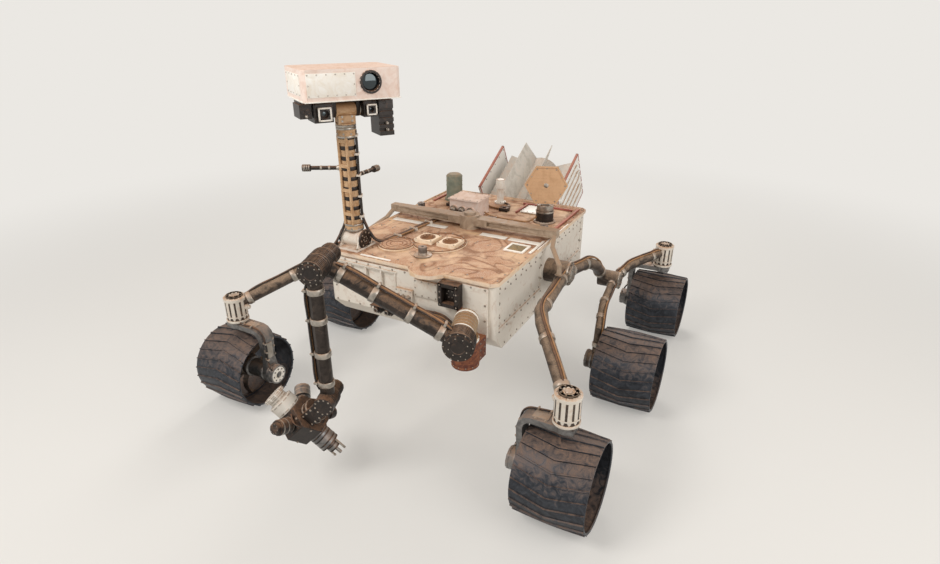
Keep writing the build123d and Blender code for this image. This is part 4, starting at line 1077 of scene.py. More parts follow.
# %% [markdown]
# The camera bar below the box is dark, with bright square frames round its two large eyes, ribs
# and a row of plugs. Each frame is four sawn strips, as a plate with a square hole would need a
# cut for the same look. Two cables cross the back of the bar under the box.

# %% Camera bar
hoods = bmesh.new()
for x, z, half, bar, face in ((-150, 1946, 38, 9, -119), (128, 1954, 31, 8, -114)):
    for low_x, high_x, low_z, high_z in (
            (-half, half, half - bar, half), (-half, half, -half, bar - half),
            (-half, bar - half, -half, half), (half - bar, half, -half, half)):
        block(hoods, head, (x + low_x, face - 7, z + low_z),
              (x + high_x, face + 1, z + high_z), 0.8)
new_piece("camera_eye_frames", hoods, "bright_white_paint", "mast_head")
plugs = bmesh.new()
for x, face, z in ((-246, -80, 1936), (-75, -64, 2010), (-25, -64, 2010), (25, -64, 2010),
                   (75, -64, 2010), (223, -94, 1830), (223, -94, 1868)):
    lathe(plugs, head, ((0, 0), (0, 9), (7, 9), (8, 7), (16, 7), (18, 5), (18, 0)),
          (x, face, z), MINUS_Y, 20)
for z in range(1812, 1939, 42):
    block(plugs, head, (182, 58, z), (264, 66, z + 18), 1)
new_piece("head_connectors", plugs, "bare_machined", "mast_head")
yoke_fine = bmesh.new()
lathe(yoke_fine, head, ((1852, 56), (1852, 60), (1854, 61), (1864, 61), (1866, 59), (1874, 56)))
bolts(yoke_fine, head, [(x, -38.5, z) for x in (-30, 30) for z in (1888, 1912)], MINUS_Y, 8)
new_piece("head_yoke_rings", yoke_fine, "bare_machined", "mast_head_yoke")
for number, z in enumerate((2005, 2014)):
    conduit("head_cable_%d" % number, head,
            ((-236, 64, z), (-220, 70, z), (-110, 71, z), (0, 71, z), (110, 71, z), (214, 70, z),
             (232, 64, z)), 4.2, CABLE_FINISHES[number], "mast_head")
print("camera bar dressed")

# %% [markdown]
# Two square covers with round middles close the inlets that feed the laboratory inside, and they
# share one large round plate. Beside them lies a second round hatch, and three sockets take the
# hooks of the landing bridle. All are turned stock, so each is one profile with a circle of bolts.

# %% Inlets, hatch and sockets
PLATE_AT = (-20, -400)
HATCH_AT = (-250, -560)
inlets = bmesh.new()
for x, y, radius, height in ((*PLATE_AT, 176, 6), (*HATCH_AT, 119, 10)):
    top = DECK + height
    lathe(inlets, hull, ((top - 3, radius - 10), (top + 1, radius - 9), (top + 5, radius - 6),
                         (top + 5, radius - 2), (top + 1, radius), (1097, radius + 1)),
          (x, y, 0), PLUS_Z, 96)
for x in (-105, 65):
    lathe(inlets, hull, ((1105, 51), (1126, 51), (1130, 50), (1130, 45), (1126, 43), (1108, 30),
                         (1107, 12), (1110, 10), (1110, 0)), (x, -410, 0), PLUS_Z, 56)
    block(inlets, hull, (x - 30, -346, 1100), (x + 30, -330, 1124), 3)
    lathe(inlets, hull, ((-34, 0), (-34, 8), (34, 8), (34, 0)), (x, -334, 1122), PLUS_X, 24)
for radius in (96, 70, 44):
    lathe(inlets, hull, ((1106, radius), (1108.5, radius - 1), (1108.5, radius - 5),
                         (1106, radius - 6)), (*HATCH_AT, 0), PLUS_Z, 72)
new_piece("inlet_rings", inlets, "brown_ring_paint")
plates = bmesh.new()
for x, y, radius, top in ((*PLATE_AT, 166, 1102.8), (*HATCH_AT, 109, 1106.8)):
    lathe(plates, hull, ((1100, 0), (1100, radius), (top, radius), (top, 0)), (x, y, 0),
          PLUS_Z, 72)
new_piece("inlet_plates", plates, "deck_paint")
inlet_bolts = bmesh.new()
for x in (-105, 65):
    bolts(inlet_bolts, hull, [(x + a, -410 + b, 1126) for a in (-56, 56) for b in (-56, 56)],
          PLUS_Z, 7)
bolt_circle(inlet_bolts, hull, (*PLATE_AT, 1107), PLUS_Z, 171, 20, 6)
bolt_circle(inlet_bolts, hull, (*HATCH_AT, 1107), PLUS_Z, 106, 12, 7)
for x, y in ((0, -640), (-510, 150), (510, 90)):
    bolt_circle(inlet_bolts, hull, (x, y, DECK), PLUS_Z, 42, 4, 9, 45)
    lathe(inlet_bolts, hull, ((DECK, 54), (1099, 56), (1103, 56), (1105, 30), (1120, 27.5),
                              (DECK, 27)), (x, y, 0), PLUS_Z, 40)
new_piece("inlet_bolts", inlet_bolts, "bare_machined")

print("inlets dressed")

# %% [markdown]
# Pale strips, a framed square and an olive target with a small post break up the orange of the
# dust. They are low sawn blocks rather than painted patches, so that their edges catch light and
# the dust can lie on them by the same rule as everywhere.

# %% Strips and target on the deck
pale = bmesh.new()
block(pale, hull, (-330, -838, 1107), (-110, -822, 1112), 1.5)
block(pale, hull, (596, -240, 1106.2), (603, 330, 1108), 0.5)
for low, high in (((400, -330, DECK), (536, -314, 1106)), ((400, -206, DECK), (536, -190, 1106)),
                  ((400, -314, DECK), (416, -206, 1106)), ((520, -314, DECK), (536, -206, 1106))):
    block(pale, hull, low, high, 2)
for low, high in ((-570, -300), (-280, -130), (140, 330), (350, 575)):
    block(pale, hull, (low, -150, 1097), (high, -98, 1101), 2)
block(pale, hull, (560, -300, DECK + 0.5), (580, -60, 1100), 1)
new_piece("pale_deck_strips", pale, "bright_white_paint")
olive = bmesh.new()
block(olive, hull, (416, -314, 1097), (520, -206, 1101), 1)
lathe(olive, hull, ((1101, 0), (1112, 3), (1118, 0)), (468, -260, 0), PLUS_Z, 20)
new_piece("olive_target", olive, "olive_anodised")
print("deck strips and target in place")

# %% [markdown]
# Behind the differential bar stands the busy part of the deck: the box of firing circuits with its
# plugs, one grey-green and one white antenna, and the dish on its gimbal. The antennas get turned
# caps and bands, the box a screwed lid, and a cable bends from each plug down to the deck.

# %% Antennas and the plug box
uhf = turned_about(hull, (-430, 520, 0))
helix_skin = bmesh.new()
lathe(helix_skin, uhf, ((1097, 70), (1097, 77), (1112, 77), (1114, 74), (1114, 64), (1120, 63.5),
                       (1290, 63.5), (1294, 62), (1303, 52), (1306.5, 48), (1306.5, 0)),
      ORIGIN, PLUS_Z, 64)
for z in (1140, 1176, 1212, 1248, 1284):
    rib(helix_skin, uhf, z, 6, 62, 65)
new_piece("helix_antenna_skin", helix_skin, "grey_green_paint")
low_gain = turned_about(hull, (-60, 600, 0))
low_gain_skin = bmesh.new()
lathe(low_gain_skin, low_gain, ((1108, 40), (1110, 45), (1112, 30), (1122, 27), (1206, 26.6),
                                (1214, 30), (1218, 35), (1228, 35.6), (1276, 35.6), (1284, 32),
                                (1286, 26), (1286.5, 0)))
new_piece("low_gain_antenna_skin", low_gain_skin, "bright_white_paint")
rear_bolts = bmesh.new()
bolt_circle(rear_bolts, uhf, (0, 0, 1112), PLUS_Z, 70, 10, 6)
bolt_circle(rear_bolts, low_gain, (0, 0, 1110), PLUS_Z, 38, 6, 6)
bolts(rear_bolts, hull, border((-266, 154), (-34, 346), 1226, 58), PLUS_Z, 6)
PLUG_X = (-220, -150, -80)
for x in PLUG_X:
    lathe(rear_bolts, hull, ((0, 25), (0, 27), (6, 27), (6, 20), (20, 20), (24, 17), (30, 17),
                             (32, 14), (32, 0)), (x, 135, 1151), MINUS_Y, 32)
new_piece("rear_deck_bolts", rear_bolts, "bare_machined")
for number, x in enumerate(PLUG_X):
    conduit("plug_cable_%d" % number, hull,
            ((x, 104, 1151), (x, 84, 1148), (x, 70, 1130), (x + 14, 76, 1112), (x + 40, 92, 1106),
             (x + 60, 116, 1106)), 7, "cable_dark")
print("antennas and plugs dressed")

# %% [markdown]
# Dull red rails edge the rear deck, and a white cover with a row of bolts lies between them. They
# are plain sawn blocks: what matters is that they stand a little proud and carry their own colour,
# since the photograph shows them as thin bright and red lines in the dust.

# %% Rails and the white cover
rails = bmesh.new()
for low, high in (((-560, 400, 1097), (-540, 700, 1109)), ((540, 140, 1097), (560, 700, 1109)),
                  ((120, 640, 1097), (520, 656, 1112)), ((150, 420, 1097), (166, 640, 1110))):
    block(rails, hull, low, high, 3)
new_piece("rust_red_rails", rails, "red_edge_paint")
white_panel = bmesh.new()
block(white_panel, hull, (180, 440, 1100), (380, 620, 1108), 2)
new_piece("white_cover_panel", white_panel, "bright_white_paint")
panel_bolts = bmesh.new()
bolts(panel_bolts, hull, border((190, 450), (370, 610), 1108, 45), PLUS_Z, 6)
bolts(panel_bolts, hull, [(210 + 80 * i, 648, 1112) for i in range(4)], PLUS_Z, 7)
new_piece("cover_panel_bolts", panel_bolts, "bare_machined")
print("rails and cover in place")

# %% [markdown]
# The deck behind the bar is crowded in the photograph: dark boxes and cables lie between the
# fittings. Five low connector boxes stand there, and each cable runs from a box to its fitting
# under small straps.

# %% Connector boxes and deck cables
boxes = bmesh.new()
box_bolts = bmesh.new()
for x, y, half_x, half_y, top in ((76, 165, 36, 25, 1124), (245, 153, 35, 23, 1118),
                                  (55, 430, 35, 30, 1122), (-365, 360, 35, 30, 1120),
                                  (-225, 470, 35, 30, 1126)):
    block(boxes, hull, (x - half_x, y - half_y, 1094), (x + half_x, y + half_y, top), 4)
    lathe(boxes, hull, ((-2, 0), (-2, 14), (6, 14), (8, 11), (8, 0)), (x, y, top), PLUS_Z, 24)
    bolts(box_bolts, hull, [(x + a * (half_x - 7), y + b * (half_y - 7), top)
                            for a in (-1, 1) for b in (-1, 1)], PLUS_Z, 6)
new_piece("deck_connector_boxes", boxes, "dark_housing")
deck_cables = (
    ((110, 165), (150, 160), (180, 158), (212, 155)),
    ((278, 153), (340, 158), (420, 172), (510, 174), (572, 188)),
    ((55, 458), (50, 520), (22, 572), (-22, 592)),
    ((-365, 388), (-374, 420), (-388, 446)),
    ((-192, 470), (-130, 480), (-60, 446), (22, 432)),
    ((-225, 442), (-222, 400), (-212, 346)))
for number, spots in enumerate(deck_cables):
    conduit("deck_cable_%d" % number, hull, [(x, y, 1105) for x, y in spots], 7,
            "cable_tan" if number % 3 == 1 else "cable_dark")
for x, y, across in ((160, 159, 0), (340, 158, 0), (470, 173, 0), (50, 520, 1), (-100, 468, 0),
                     (-222, 400, 1)):
    wide, deep = (14, 5) if across else (5, 14)
    block(box_bolts, hull, (x - wide, y - deep, 1095), (x + wide, y + deep, 1114), 2)
new_piece("deck_cable_straps", box_bolts, "bare_machined")
print("deck cables strapped down")

# %% [markdown]
# The dish is a flat six-sided panel, carried on two crossed bearings. A panel of this kind is a
# printed antenna, so its face shows a very fine square grid, here a shallow raised lattice. Bolts
# stand along its rim, and rings and bolts dress the bearings under it.

# %% Dish and gimbal
DISH_Z = 1380
dish_metal = bmesh.new()
for number in range(12):
    angle = math.radians(30 * number)
    reach = 118 if number % 2 else 128
    bolts(dish_metal, dish_frame,
          [(reach * math.cos(angle), -69, DISH_Z + reach * math.sin(angle))], MINUS_Y, 6)
lathe(dish_metal, dish_frame, ((-1, 0), (-1, 16), (3, 16), (5, 13), (5, 0)), (0, -69, DISH_Z),
      MINUS_Y, 32)
for hand in (1, -1):
    lathe(dish_metal, dish_frame, ((0, 24), (2, 26), (8, 26), (10, 22), (10, 0)),
          (hand * 64, 0, DISH_Z), (hand, 0, 0), 40)
new_piece("dish_bolts", dish_metal, "bare_machined", "dish")
lattice = bmesh.new()
for reach in range(-96, 97, 24):
    tall = min(126 - abs(reach) * 0.58, 106)
    wide = 128 - abs(reach) * 0.6
    block(lattice, dish_frame, (reach - 1, -69.8, DISH_Z - tall),
          (reach + 1, -68.6, DISH_Z + tall), 0.3)
    block(lattice, dish_frame, (-wide, -69.8, DISH_Z + reach - 1),
          (wide, -68.6, DISH_Z + reach + 1), 0.3)
new_piece("dish_lattice", lattice, "dish_paint", "dish")
gimbal = bmesh.new()
lathe(gimbal, dish_frame, ((1187, 54), (1187, 58), (1191, 59), (1222, 59), (1226, 56), (1228, 40)))
bolt_circle(gimbal, dish_frame, (0, 0, 1226), PLUS_Z, 48, 8, 7)
for hand in (1, -1):
    bolts(gimbal, dish_frame, [(x, hand * 30, z) for x in (-20, 20) for z in (1250, 1300, 1340)],
          (0, hand, 0), 7)
new_piece("gimbal_rings", gimbal, "bare_machined", "dish_yoke")
base_rings = bmesh.new()
base_frame = turned_about(hull, DISH_AT)
lathe(base_rings, base_frame, ((1108, 64), (1110, 76), (1106, 79), (1097, 79)))
lathe(base_rings, base_frame, ((1172, 62), (1172, 65), (1184, 65), (1184, 60)))
bolt_circle(base_rings, base_frame, (0, 0, 1109), PLUS_Z, 69.5, 10, 7)
new_piece("dish_base_rings", base_rings, "bare_machined")
conduit("dish_cable", hull, ((376, 286, 1140), (352, 262, 1120), (330, 246, 1108), (260, 230, 1106),
                             (170, 226, 1106), (60, 240, 1106), (0, 250, 1112), (-22, 250, 1124)),
        6, "cable_tan")
print("dish dressed")

# %% [markdown]
# The arm's shoulder is the largest actuator on the machine: a red-brown turned housing low on the
# nose, a pale capsule above it with a bright end band, and a ribbed drum that ends in a dark round
# cap. Each is a stack of turned rings over the engineering model's housings.

# %% Shoulder housings
nose = turned_about(hull, SHOULDER_AT)
shoulder_fine = bmesh.new()
lathe(shoulder_fine, nose, ((641, 70), (641, 78), (644, 80), (654, 80), (657, 78), (657, 76.5),
                            (784, 76.5), (784, 80), (787, 82), (796, 82), (799, 80), (799, 70)),
      ORIGIN, PLUS_Z, 64)
for z in (676, 700, 724, 748):
    rib(shoulder_fine, nose, z, 8, 75, 79)
lathe(shoulder_fine, nose, ((640, 60), (626, 54), (624, 50), (624, 0)))
new_piece("shoulder_housing_rings", shoulder_fine, "red_brown_housing")
shoulder_bolts = bmesh.new()
bolt_circle(shoulder_bolts, nose, (0, 0, 657), PLUS_Z, 79, 12, 5)
bolt_circle(shoulder_bolts, nose, (0, 0, 640), MINUS_Z, 66, 12, 7)
for hand in (-1, 1):
    bolts(shoulder_bolts, nose, [(hand * 65, y, z) for y in (60, 110) for z in (670, 715, 760)],
          (hand, 0, 0), 7)
new_piece("shoulder_housing_bolts", shoulder_bolts, "bare_machined")

capsule = bmesh.new()
lathe(capsule, arm, ((-62, 0), (-62, 40), (-60, 58), (-56, 66), (-48, 71), (-30, 72), (-28, 71)),
      (0, 0, SHOULDER_Z), PLUS_Y, 64)
lathe(capsule, arm, ((118, 70), (120, 73), (142, 73), (144, 70)), (0, 0, SHOULDER_Z), PLUS_Y, 64)
lathe(capsule, arm, ((801, 72), (801, 77), (804, 79), (816, 79), (819, 77), (819, 72)), ORIGIN,
      PLUS_Z, 64)
new_piece("capsule_end_band", capsule, "bright_white_paint", "shoulder")
capsule_bolts = bmesh.new()
bolts(capsule_bolts, arm, around((0, -62, 895), PLUS_Y, 34, 8), MINUS_Y, 7)
bolt_circle(capsule_bolts, arm, (0, 0, 819), PLUS_Z, 76, 14, 5)
for y in (-14, 20, 54, 88):
    ring(capsule_bolts, arm, y, 6, 69.5, 71.5, (0, 0, SHOULDER_Z), PLUS_Y, 64)
new_piece("capsule_rings", capsule_bolts, "bare_machined", "shoulder")
print("shoulder dressed")

# %% [markdown]
# The two long links are dark titanium tubes. At each end a ribbed drum holds a geared motor, and
# flat cable bundles run from drum to drum under clamps. The ribs are turned rings a few millimetres
# apart, and the end caps carry a bolt circle each, as they do on the real actuators.

# %% Ribbed drums of the arm


def actuator(metal, dark, local, place, radius, low, high, free):
    """Ribs round a drum between two planes, and bolted ends; the free end has a stepped cap."""
    x, z = place
    step = (high - low - 24) / 6
    for number in range(6):
        rib(dark, local, low + 14 + number * step, step * 0.45 + 1, radius - 2, radius + 2.5,
            (x, 0, z), PLUS_Y, 56)
    for end, sign in ((low, -1), (high, 1)):
        lathe(dark, local, ((-6, radius + 0.5), (-1, radius + 0.5), (0.2, radius - 1.5),
                            (0.2, radius - 9), (-1, radius - 11), (0.2, radius - 13)),
              (x, end, z), (0, sign, 0), 56)
        bolt_circle(metal, local, (x, end, z), (0, sign, 0), radius - 6, 12, 4)
        if sign == free:
            lathe(dark, local, ((-2, 0), (-2, radius - 13), (2.4, radius - 13), (3.4, radius - 15),
                                (3.4, radius * 0.48), (1.4, radius * 0.45), (1.4, 0)),
                  (x, end, z), (0, sign, 0), 56)
            bolt_circle(metal, local, (x, end + sign * 3.4, z), (0, sign, 0), radius * 0.62, 8, 4)


print("drums can be ribbed")

# %% [markdown]
# Upper arm and forearm are built alike: three drums, four clamps and three cables, only with other
# sizes. So both come from one loop over a table of their lengths, planes and drums, and the cables
# pass exactly through the clamps because both read the same shares of the length.

# %% Two arm links
# how far along a link its four clamps sit
CLAMP_SHARES = (0.14, 0.36, 0.62, 0.86)
for name, local, plane, tube, length, drums in (
        ("upper_arm", upper, 200, 42, 820,
         ((0, 84, 150, 250, 1), (820, 68, 150, 250, 0), (820, 54, 50, 148, -1))),
        ("forearm", fore, 305, 38, 760,
         ((0, 66, 250.5, 350, 1), (760, 54, 260, 344.6, 0), (760, 44, 180, 258, -1)))):
    metal = bmesh.new()
    dark = bmesh.new()
    for x, radius, low, high, free in drums:
        actuator(metal, dark, local, (x, 0), radius, low, high, free)
    for share in CLAMP_SHARES:
        at = length * share
        clamp(metal, local, tube, (at, plane, 0), PLUS_X, 48)
        block(metal, local, (at - 7, plane - 20, tube + 4), (at + 7, plane + 22, tube + 24), 2)
        bolts(metal, local, [(at, plane + y, tube + 24) for y in (-16, 18)], PLUS_Z, 6)
    new_piece(name + "_clamps", metal, "bare_machined", name)
    new_piece(name + "_ribs", dark, "dark_housing", name)
    for number, across in enumerate((-12, 1, 14)):
        spots = [(length * share, plane + across, tube + lift)
                 for share, lift in zip(CLAMP_SHARES, (12, 14, 14, 12))]
        start = (length * 0.09, plane + across * 0.6, tube + 3)
        end = (length * 0.915, plane + across * 0.6, tube + 2)
        conduit("%s_cable_%d" % (name, number), local, [start, *spots, end], 5.5,
                CABLE_FINISHES[number], name)
print("arm links dressed")

# %% [markdown]
# The turret is a toolbox: a drill with its fluted bit and two guard prongs, a sample sieve, a
# camera with a ring of tiny lamps, a sensor with a shielded face and a wire brush. What makes
# them different at a glance is the end of each tool, so that is where the turned detail goes.

# %% Turret and tool frames
# distance of the six flats from the turret's axis
FLAT_REACH = 120 * math.cos(math.radians(30))


def out_at(degrees):
    """The direction out from the turret's axis at an angle."""
    return Vector((0, math.cos(math.radians(degrees)), math.sin(math.radians(degrees))))


def tool_frame(angle):
    """The frame of a tool: its origin on the turret's flat and its Z axis pointing out."""
    out = out_at(angle)
    place = Vector((75, 0, 0)) * MM + out * FLAT_REACH * MM
    return turret @ Matrix.Translation(place) @ turn_to(out)


turret_metal = bmesh.new()
turret_dark = bmesh.new()
for angle in range(0, 360, 60):
    out = out_at(angle + 30)
    bolts(turret_metal, turret,
          [Vector((along, 0, 0)) + out * FLAT_REACH for along in (14, 136)], out, 8)
bolt_circle(turret_metal, turret, (160, 0, 0), PLUS_X, 44, 8, 8)
lathe(turret_metal, turret, ((150, 64), (152, 66), (158, 66), (160, 60), (160.5, 30), (157, 28),
                             (157, 0)), ORIGIN, PLUS_X, 56)
print("turret bolted")

# %% [markdown]
# The drill is the longest tool: a stepped drum, a fluted bit and a guard prong on each side. The
# flutes could be a true screw, but at this size a stack of narrow ribs looks the same and stays
# light. The sample sieve opposite is a stack of banded drums under a bolted lid.

# %% Drill and sieve
drill = tool_frame(270)
for at, radius in ((8, 58), (30, 58), (66, 58), (88, 58), (104, 36), (128, 36)):
    ring(turret_dark, drill, at, 8, radius - 4, radius + 0.5)
for flute in range(12):
    rib(turret_metal, drill, 137 + flute * 3.4, 3.4, 7, 9.8, steps=20)
lathe(turret_metal, drill, ((178, 8), (179.5, 4), (179.8, 0)), ORIGIN, PLUS_Z, 20)
for side in (-1, 1):
    block(turret_metal, drill, (side * 44 - 5, -5, 92), (side * 44 + 5, 5, 170), 2)
    lathe(turret_metal, drill, ((166, 0), (166, 8), (174, 5), (176, 0)), (side * 44, 0, 0),
          PLUS_Z, 16)
sieve = tool_frame(90)
for at, radius in ((6, 71), (58, 71), (76, 51), (90, 51), (102, 63), (112, 63)):
    ring(turret_metal, sieve, at, 6, radius - 4, radius + 0.5)
bolt_circle(turret_metal, sieve, (0, 0, 120), PLUS_Z, 52, 10, 6)
lathe(turret_dark, sieve, ((112, 34), (120, 34), (121, 32), (117, 30), (117, 0)), steps=40)
print("drill and sieve turned")

# %% [markdown]
# The close-up camera has a ring of eight tiny lamps round its lens, the sensor a shielded face and
# the brush a head of wire bristles. Bristles could be hair, but forty-eight thin cones are lighter
# and export as they are.

# %% Camera, sensor and brush
close_up = tool_frame(30)
for at in (8, 40, 74):
    ring(turret_metal, close_up, at, 6, 41, 43.5, steps=40)
lathe(turret_dark, close_up, ((106, 29), (112, 30.5), (113, 28), (113, 20), (109, 18)), steps=40)
for spot in around((0, 0, 112.6), PLUS_Z, 24, 8):
    lathe(turret_metal, close_up, ((0, 2.4), (0.8, 2.0), (0.8, 0)), spot, PLUS_Z, 10)
sensor = tool_frame(150)
for at in (52, 84, 110):
    ring(turret_metal, sensor, at, 6, 41, 45.5, steps=40)
lathe(turret_dark, sensor, ((112, 40), (119, 40), (121, 36), (116, 30), (116, 0)), steps=40)
brush = tool_frame(210)
for ring_radius, count in ((8, 8), (17, 16), (26, 24)):
    for spot in around((0, 0, 128), PLUS_Z, ring_radius, count):
        lathe(turret_metal, brush, ((-2, 1.3), (3.8, 1.0), (3.8, 0)), spot, PLUS_Z, 5)
lathe(turret_dark, brush, ((88, 36), (90, 38.5), (126, 38.5), (130, 37), (130, 31), (127, 30),
                           (127, 0)), ORIGIN, PLUS_Z, 40)
new_piece("turret_metal", turret_metal, "bare_machined", "turret")
new_piece("turret_dark_parts", turret_dark, "dark_housing", "turret")
front_lens = bmesh.new()
lathe(front_lens, close_up, ((109, 19), (110.5, 14), (111.5, 7), (111.8, 0)), steps=32)
new_piece("close_up_lens", front_lens, "coated_glass", "turret")
print("camera, sensor and brush turned")

# %% [markdown]
# Short cables hug the turret from tool to tool, and a ring of bolts and a banded neck join it to
# the wrist. Each cable is bent through three points just outside the turret's skin, and the wrist
# rides on a body of its own, so its rings are a piece of their own too.

# %% Turret cables and wrist rings
for number, angle in enumerate((0, 60, 120, 180, 240)):
    a = math.radians(angle + 4)
    b = math.radians(angle + 52)
    spots = [(x, reach * math.cos(turn), reach * math.sin(turn))
             for x, reach, turn in ((24, 112, a), (30, 121, (a + b) / 2 - 0.1), (34, 110, b))]
    conduit("turret_cable_%d" % number, turret, spots, 4.5, "cable_dark", "turret")
wrist_metal = bmesh.new()
bolt_circle(wrist_metal, wrist, (0, 385.3, 0), PLUS_Y, 45, 10, 6)
bolts(wrist_metal, wrist, [(x, 379, z) for x in (76, 112, 142) for z in (-32, 32)], PLUS_Y, 7)
lathe(wrist_metal, wrist, ((106, 64), (108, 68), (116, 68), (118, 66), (140, 66), (142, 68),
                           (150, 68), (152, 64)), (0, 305, 0), PLUS_X, 48)
new_piece("wrist_rings", wrist_metal, "bare_machined", "wrist")
print("turret cabled, wrist ringed")

# %% [markdown]
# The power source leans back behind the deck between two flat heat exchangers. Eight deep fins
# shed its heat, so they are thin sheets with a strip and a row of bolts at the root. The exchangers
# are white panels with dull red edges, and each carries a snake of small pipes.

# %% Power source and heat exchangers
stern = bmesh.new()
lathe(stern, power, ((559, 120), (562, 126), (568, 126), (571, 120), (571, 90), (578, 84),
                     (580, 78), (580, 30), (576, 26), (576, 0)), ORIGIN, PLUS_Y, 64)
lathe(stern, power, ((-2, 128), (2, 130), (12, 130), (16, 126)), ORIGIN, PLUS_Y, 64)
for y in (90, 280, 470):
    rib(stern, power, y, 10, 123, 127, axis=PLUS_Y)
new_piece("power_source_rings", stern, "graphite_coating")
stern_bolts = bmesh.new()
bolt_circle(stern_bolts, power, (0, 571, 0), PLUS_Y, 104, 16, 8)
for number in range(8):
    fin = power @ Matrix.Rotation(math.radians(22.5 + 45 * number), 4, "Y")
    bolts(stern_bolts, fin, [(150, y, 3) for y in (60, 170, 280, 390, 500)], PLUS_Z, 6)
    block(stern_bolts, fin, (126, 20, 3), (134, 540, 9), 1)
new_piece("fin_roots", stern_bolts, "bare_machined")
edges = bmesh.new()
for side in (-1, 1):
    low, high = sorted((side * 329, side * 349.5))
    for y0, y1, z0, z1 in ((20, 540, 230, 241), (20, 540, -201, -190), (20, 31, -201, 241),
                           (529, 540, -201, 241)):
        block(edges, power, (low, y0, z0), (high, y1, z1), 1.5)
new_piece("exchanger_edges", edges, "red_edge_paint")
pipes_bolts = bmesh.new()
for side in (-1, 1):
    bolts(pipes_bolts, power, border((46, -176), (514, 216), side * 330, 98, "X"), (-side, 0, 0), 7)
new_piece("exchanger_bolts", pipes_bolts, "bare_machined")
for side, word in ((-1, "right"), (1, "left")):
    snake = []
    for row in range(5):
        z = 20 + (row - 2) * 73.3 + 12
        first, last = (90, 470) if row % 2 == 0 else (470, 90)
        snake += [(side * 351, first + (last - first) * quarter / 4, z) for quarter in range(5)]
        if row < 4:
            snake.append((side * 351, last + (34 if last > first else -34), z + 36.6))
    conduit("exchanger_pipe_" + word, power, snake, 6, "white_drive_paint")
    conduit("coolant_pipe_" + word, hull,
            ((side * 220, 745, 790), (side * 236, 770, 800), (side * 262, 800, 850),
             (side * 300, 850, 900), (side * 334, 905, 948)), 8, "bare_machined")
print("stern dressed")

# %% [markdown]
# Low on the nose and on the stern sit the hazard cameras, in pairs. They are small, yet a bright
# ring with a dark pane in it draws the eye, so each uses the same turned lens as the head, only
# smaller, with four or six screws in its plate.

# %% Hazard cameras
haz_metal = bmesh.new()
haz_glass = bmesh.new()
for x in (-190, -110, 110, 190):
    lens(haz_metal, haz_glass, hull, (x, -904, 790), MINUS_Y, 11)
    bolts(haz_metal, hull, [(x + a, -888, 790 + b) for a in (-20, 20) for b in (-19, 19)],
          MINUS_Y, 4)
for x in (-480, 480):
    for eye in (-36, 36):
        lens(haz_metal, haz_glass, hull, (x + eye, 814, 830), PLUS_Y, 11)
    bolts(haz_metal, hull, [(x + a, 800, 830 + b) for a in (-58, 0, 58) for b in (-20, 20)],
          PLUS_Y, 4)
new_piece("hazard_lens_rings", haz_metal, "bare_machined")
new_piece("hazard_lenses", haz_glass, "coated_glass")
print("hazard cameras in place")

# %% [markdown]
# The nose of the warm box carries a framed cover, a connector block with three cables and a dark
# box with a square opening. A hole could be cut, but a frame of sawn strips round a recessed back
# gives the same shadow and leaves the exact part behind it untouched.

# %% Nose covers and cables
nose_parts = bmesh.new()
block(nose_parts, hull, (-532, -851, 1040), (-58, -843, 1052), 2)
block(nose_parts, hull, (-532, -851, 900), (-58, -843, 912), 2)
for x in (-520, -405, -290, -175, -70):
    block(nose_parts, hull, (x - 6, -850, 912), (x + 6, -838, 1040), 2)
block(nose_parts, hull, (-60, -868, 870), (60, -843, 960), 5)
block(nose_parts, hull, (70, -858, 930), (230, -843, 1040), 4)
new_piece("nose_covers", nose_parts, "white_drive_paint")
dock = bmesh.new()
for x0, x1, y0, y1, z0, z1 in (
        (263, 286, -903, -897, 928, 1074), (369, 392, -903, -897, 928, 1074),
        (263, 392, -903, -897, 1051, 1074), (263, 392, -903, -897, 928, 951),
        (262.5, 266, -900, -845, 928, 1074), (389, 392.5, -900, -845, 928, 1074),
        (263, 392, -900, -845, 1071, 1074), (263, 392, -900, -845, 927.5, 931),
        (284, 371, -863, -859.5, 949, 1053), (284, 286.5, -899, -861, 950, 1052),
        (368.5, 371, -899, -861, 950, 1052), (285, 370, -899, -861, 950, 952),
        (285, 370, -899, -861, 1050, 1052)):
    block(dock, hull, (x0, y0, z0), (x1, y1, z1), 0.8)
lathe(dock, hull, ((0, 0), (0, 30), (5, 30), (7, 26), (7, 0)), (327, -862, 1001), MINUS_Y, 40)
new_piece("nose_dock", dock, "dark_housing")
nose_bolts = bmesh.new()
for x in (274, 381):
    bolts(nose_bolts, hull, [(x, -903, z) for z in (940, 984, 1020, 1062)], MINUS_Y, 6)
bolt_circle(nose_bolts, hull, (327, -869, 1001), MINUS_Y, 22, 6, 4)
bolts(nose_bolts, hull, border((-50, 880), (50, 950), -868, 34, "Y"), MINUS_Y, 6)
bolts(nose_bolts, hull, border((80, 940), (220, 1030), -858, 46, "Y"), MINUS_Y, 6)
for x in (-36, 0, 36):
    lathe(nose_bolts, hull, ((0, 0), (0, 13), (9, 13), (10, 10), (20, 10), (22, 7), (22, 0)),
          (x, -868, 915), MINUS_Y, 24)
new_piece("nose_bolts", nose_bolts, "bare_machined")
for number, (x, drop) in enumerate(((-36, 0), (0, 10), (36, 20))):
    conduit("nose_cable_%d" % number, hull,
            ((x, -888, 915), (x + 8, -896, 905), (x + 30, -890, 868 - drop),
             (150, -866, 852 - drop), (270, -862, 846 - drop), (340, -864, 806 - drop),
             (402, -884, 768 - drop),
             (428, -930, 750 - drop)), 7, CABLE_FINISHES[number])
print("nose dressed")

# %% [markdown]
# The photograph was taken from above the rover's front port corner, looking down across the deck.
# A camera at that bearing and height, fairly near, keeps the same strong perspective: the near
# front wheel is seen from above and the mast stands tall on the far side of the nose.

# %% Camera at the photograph's bearing


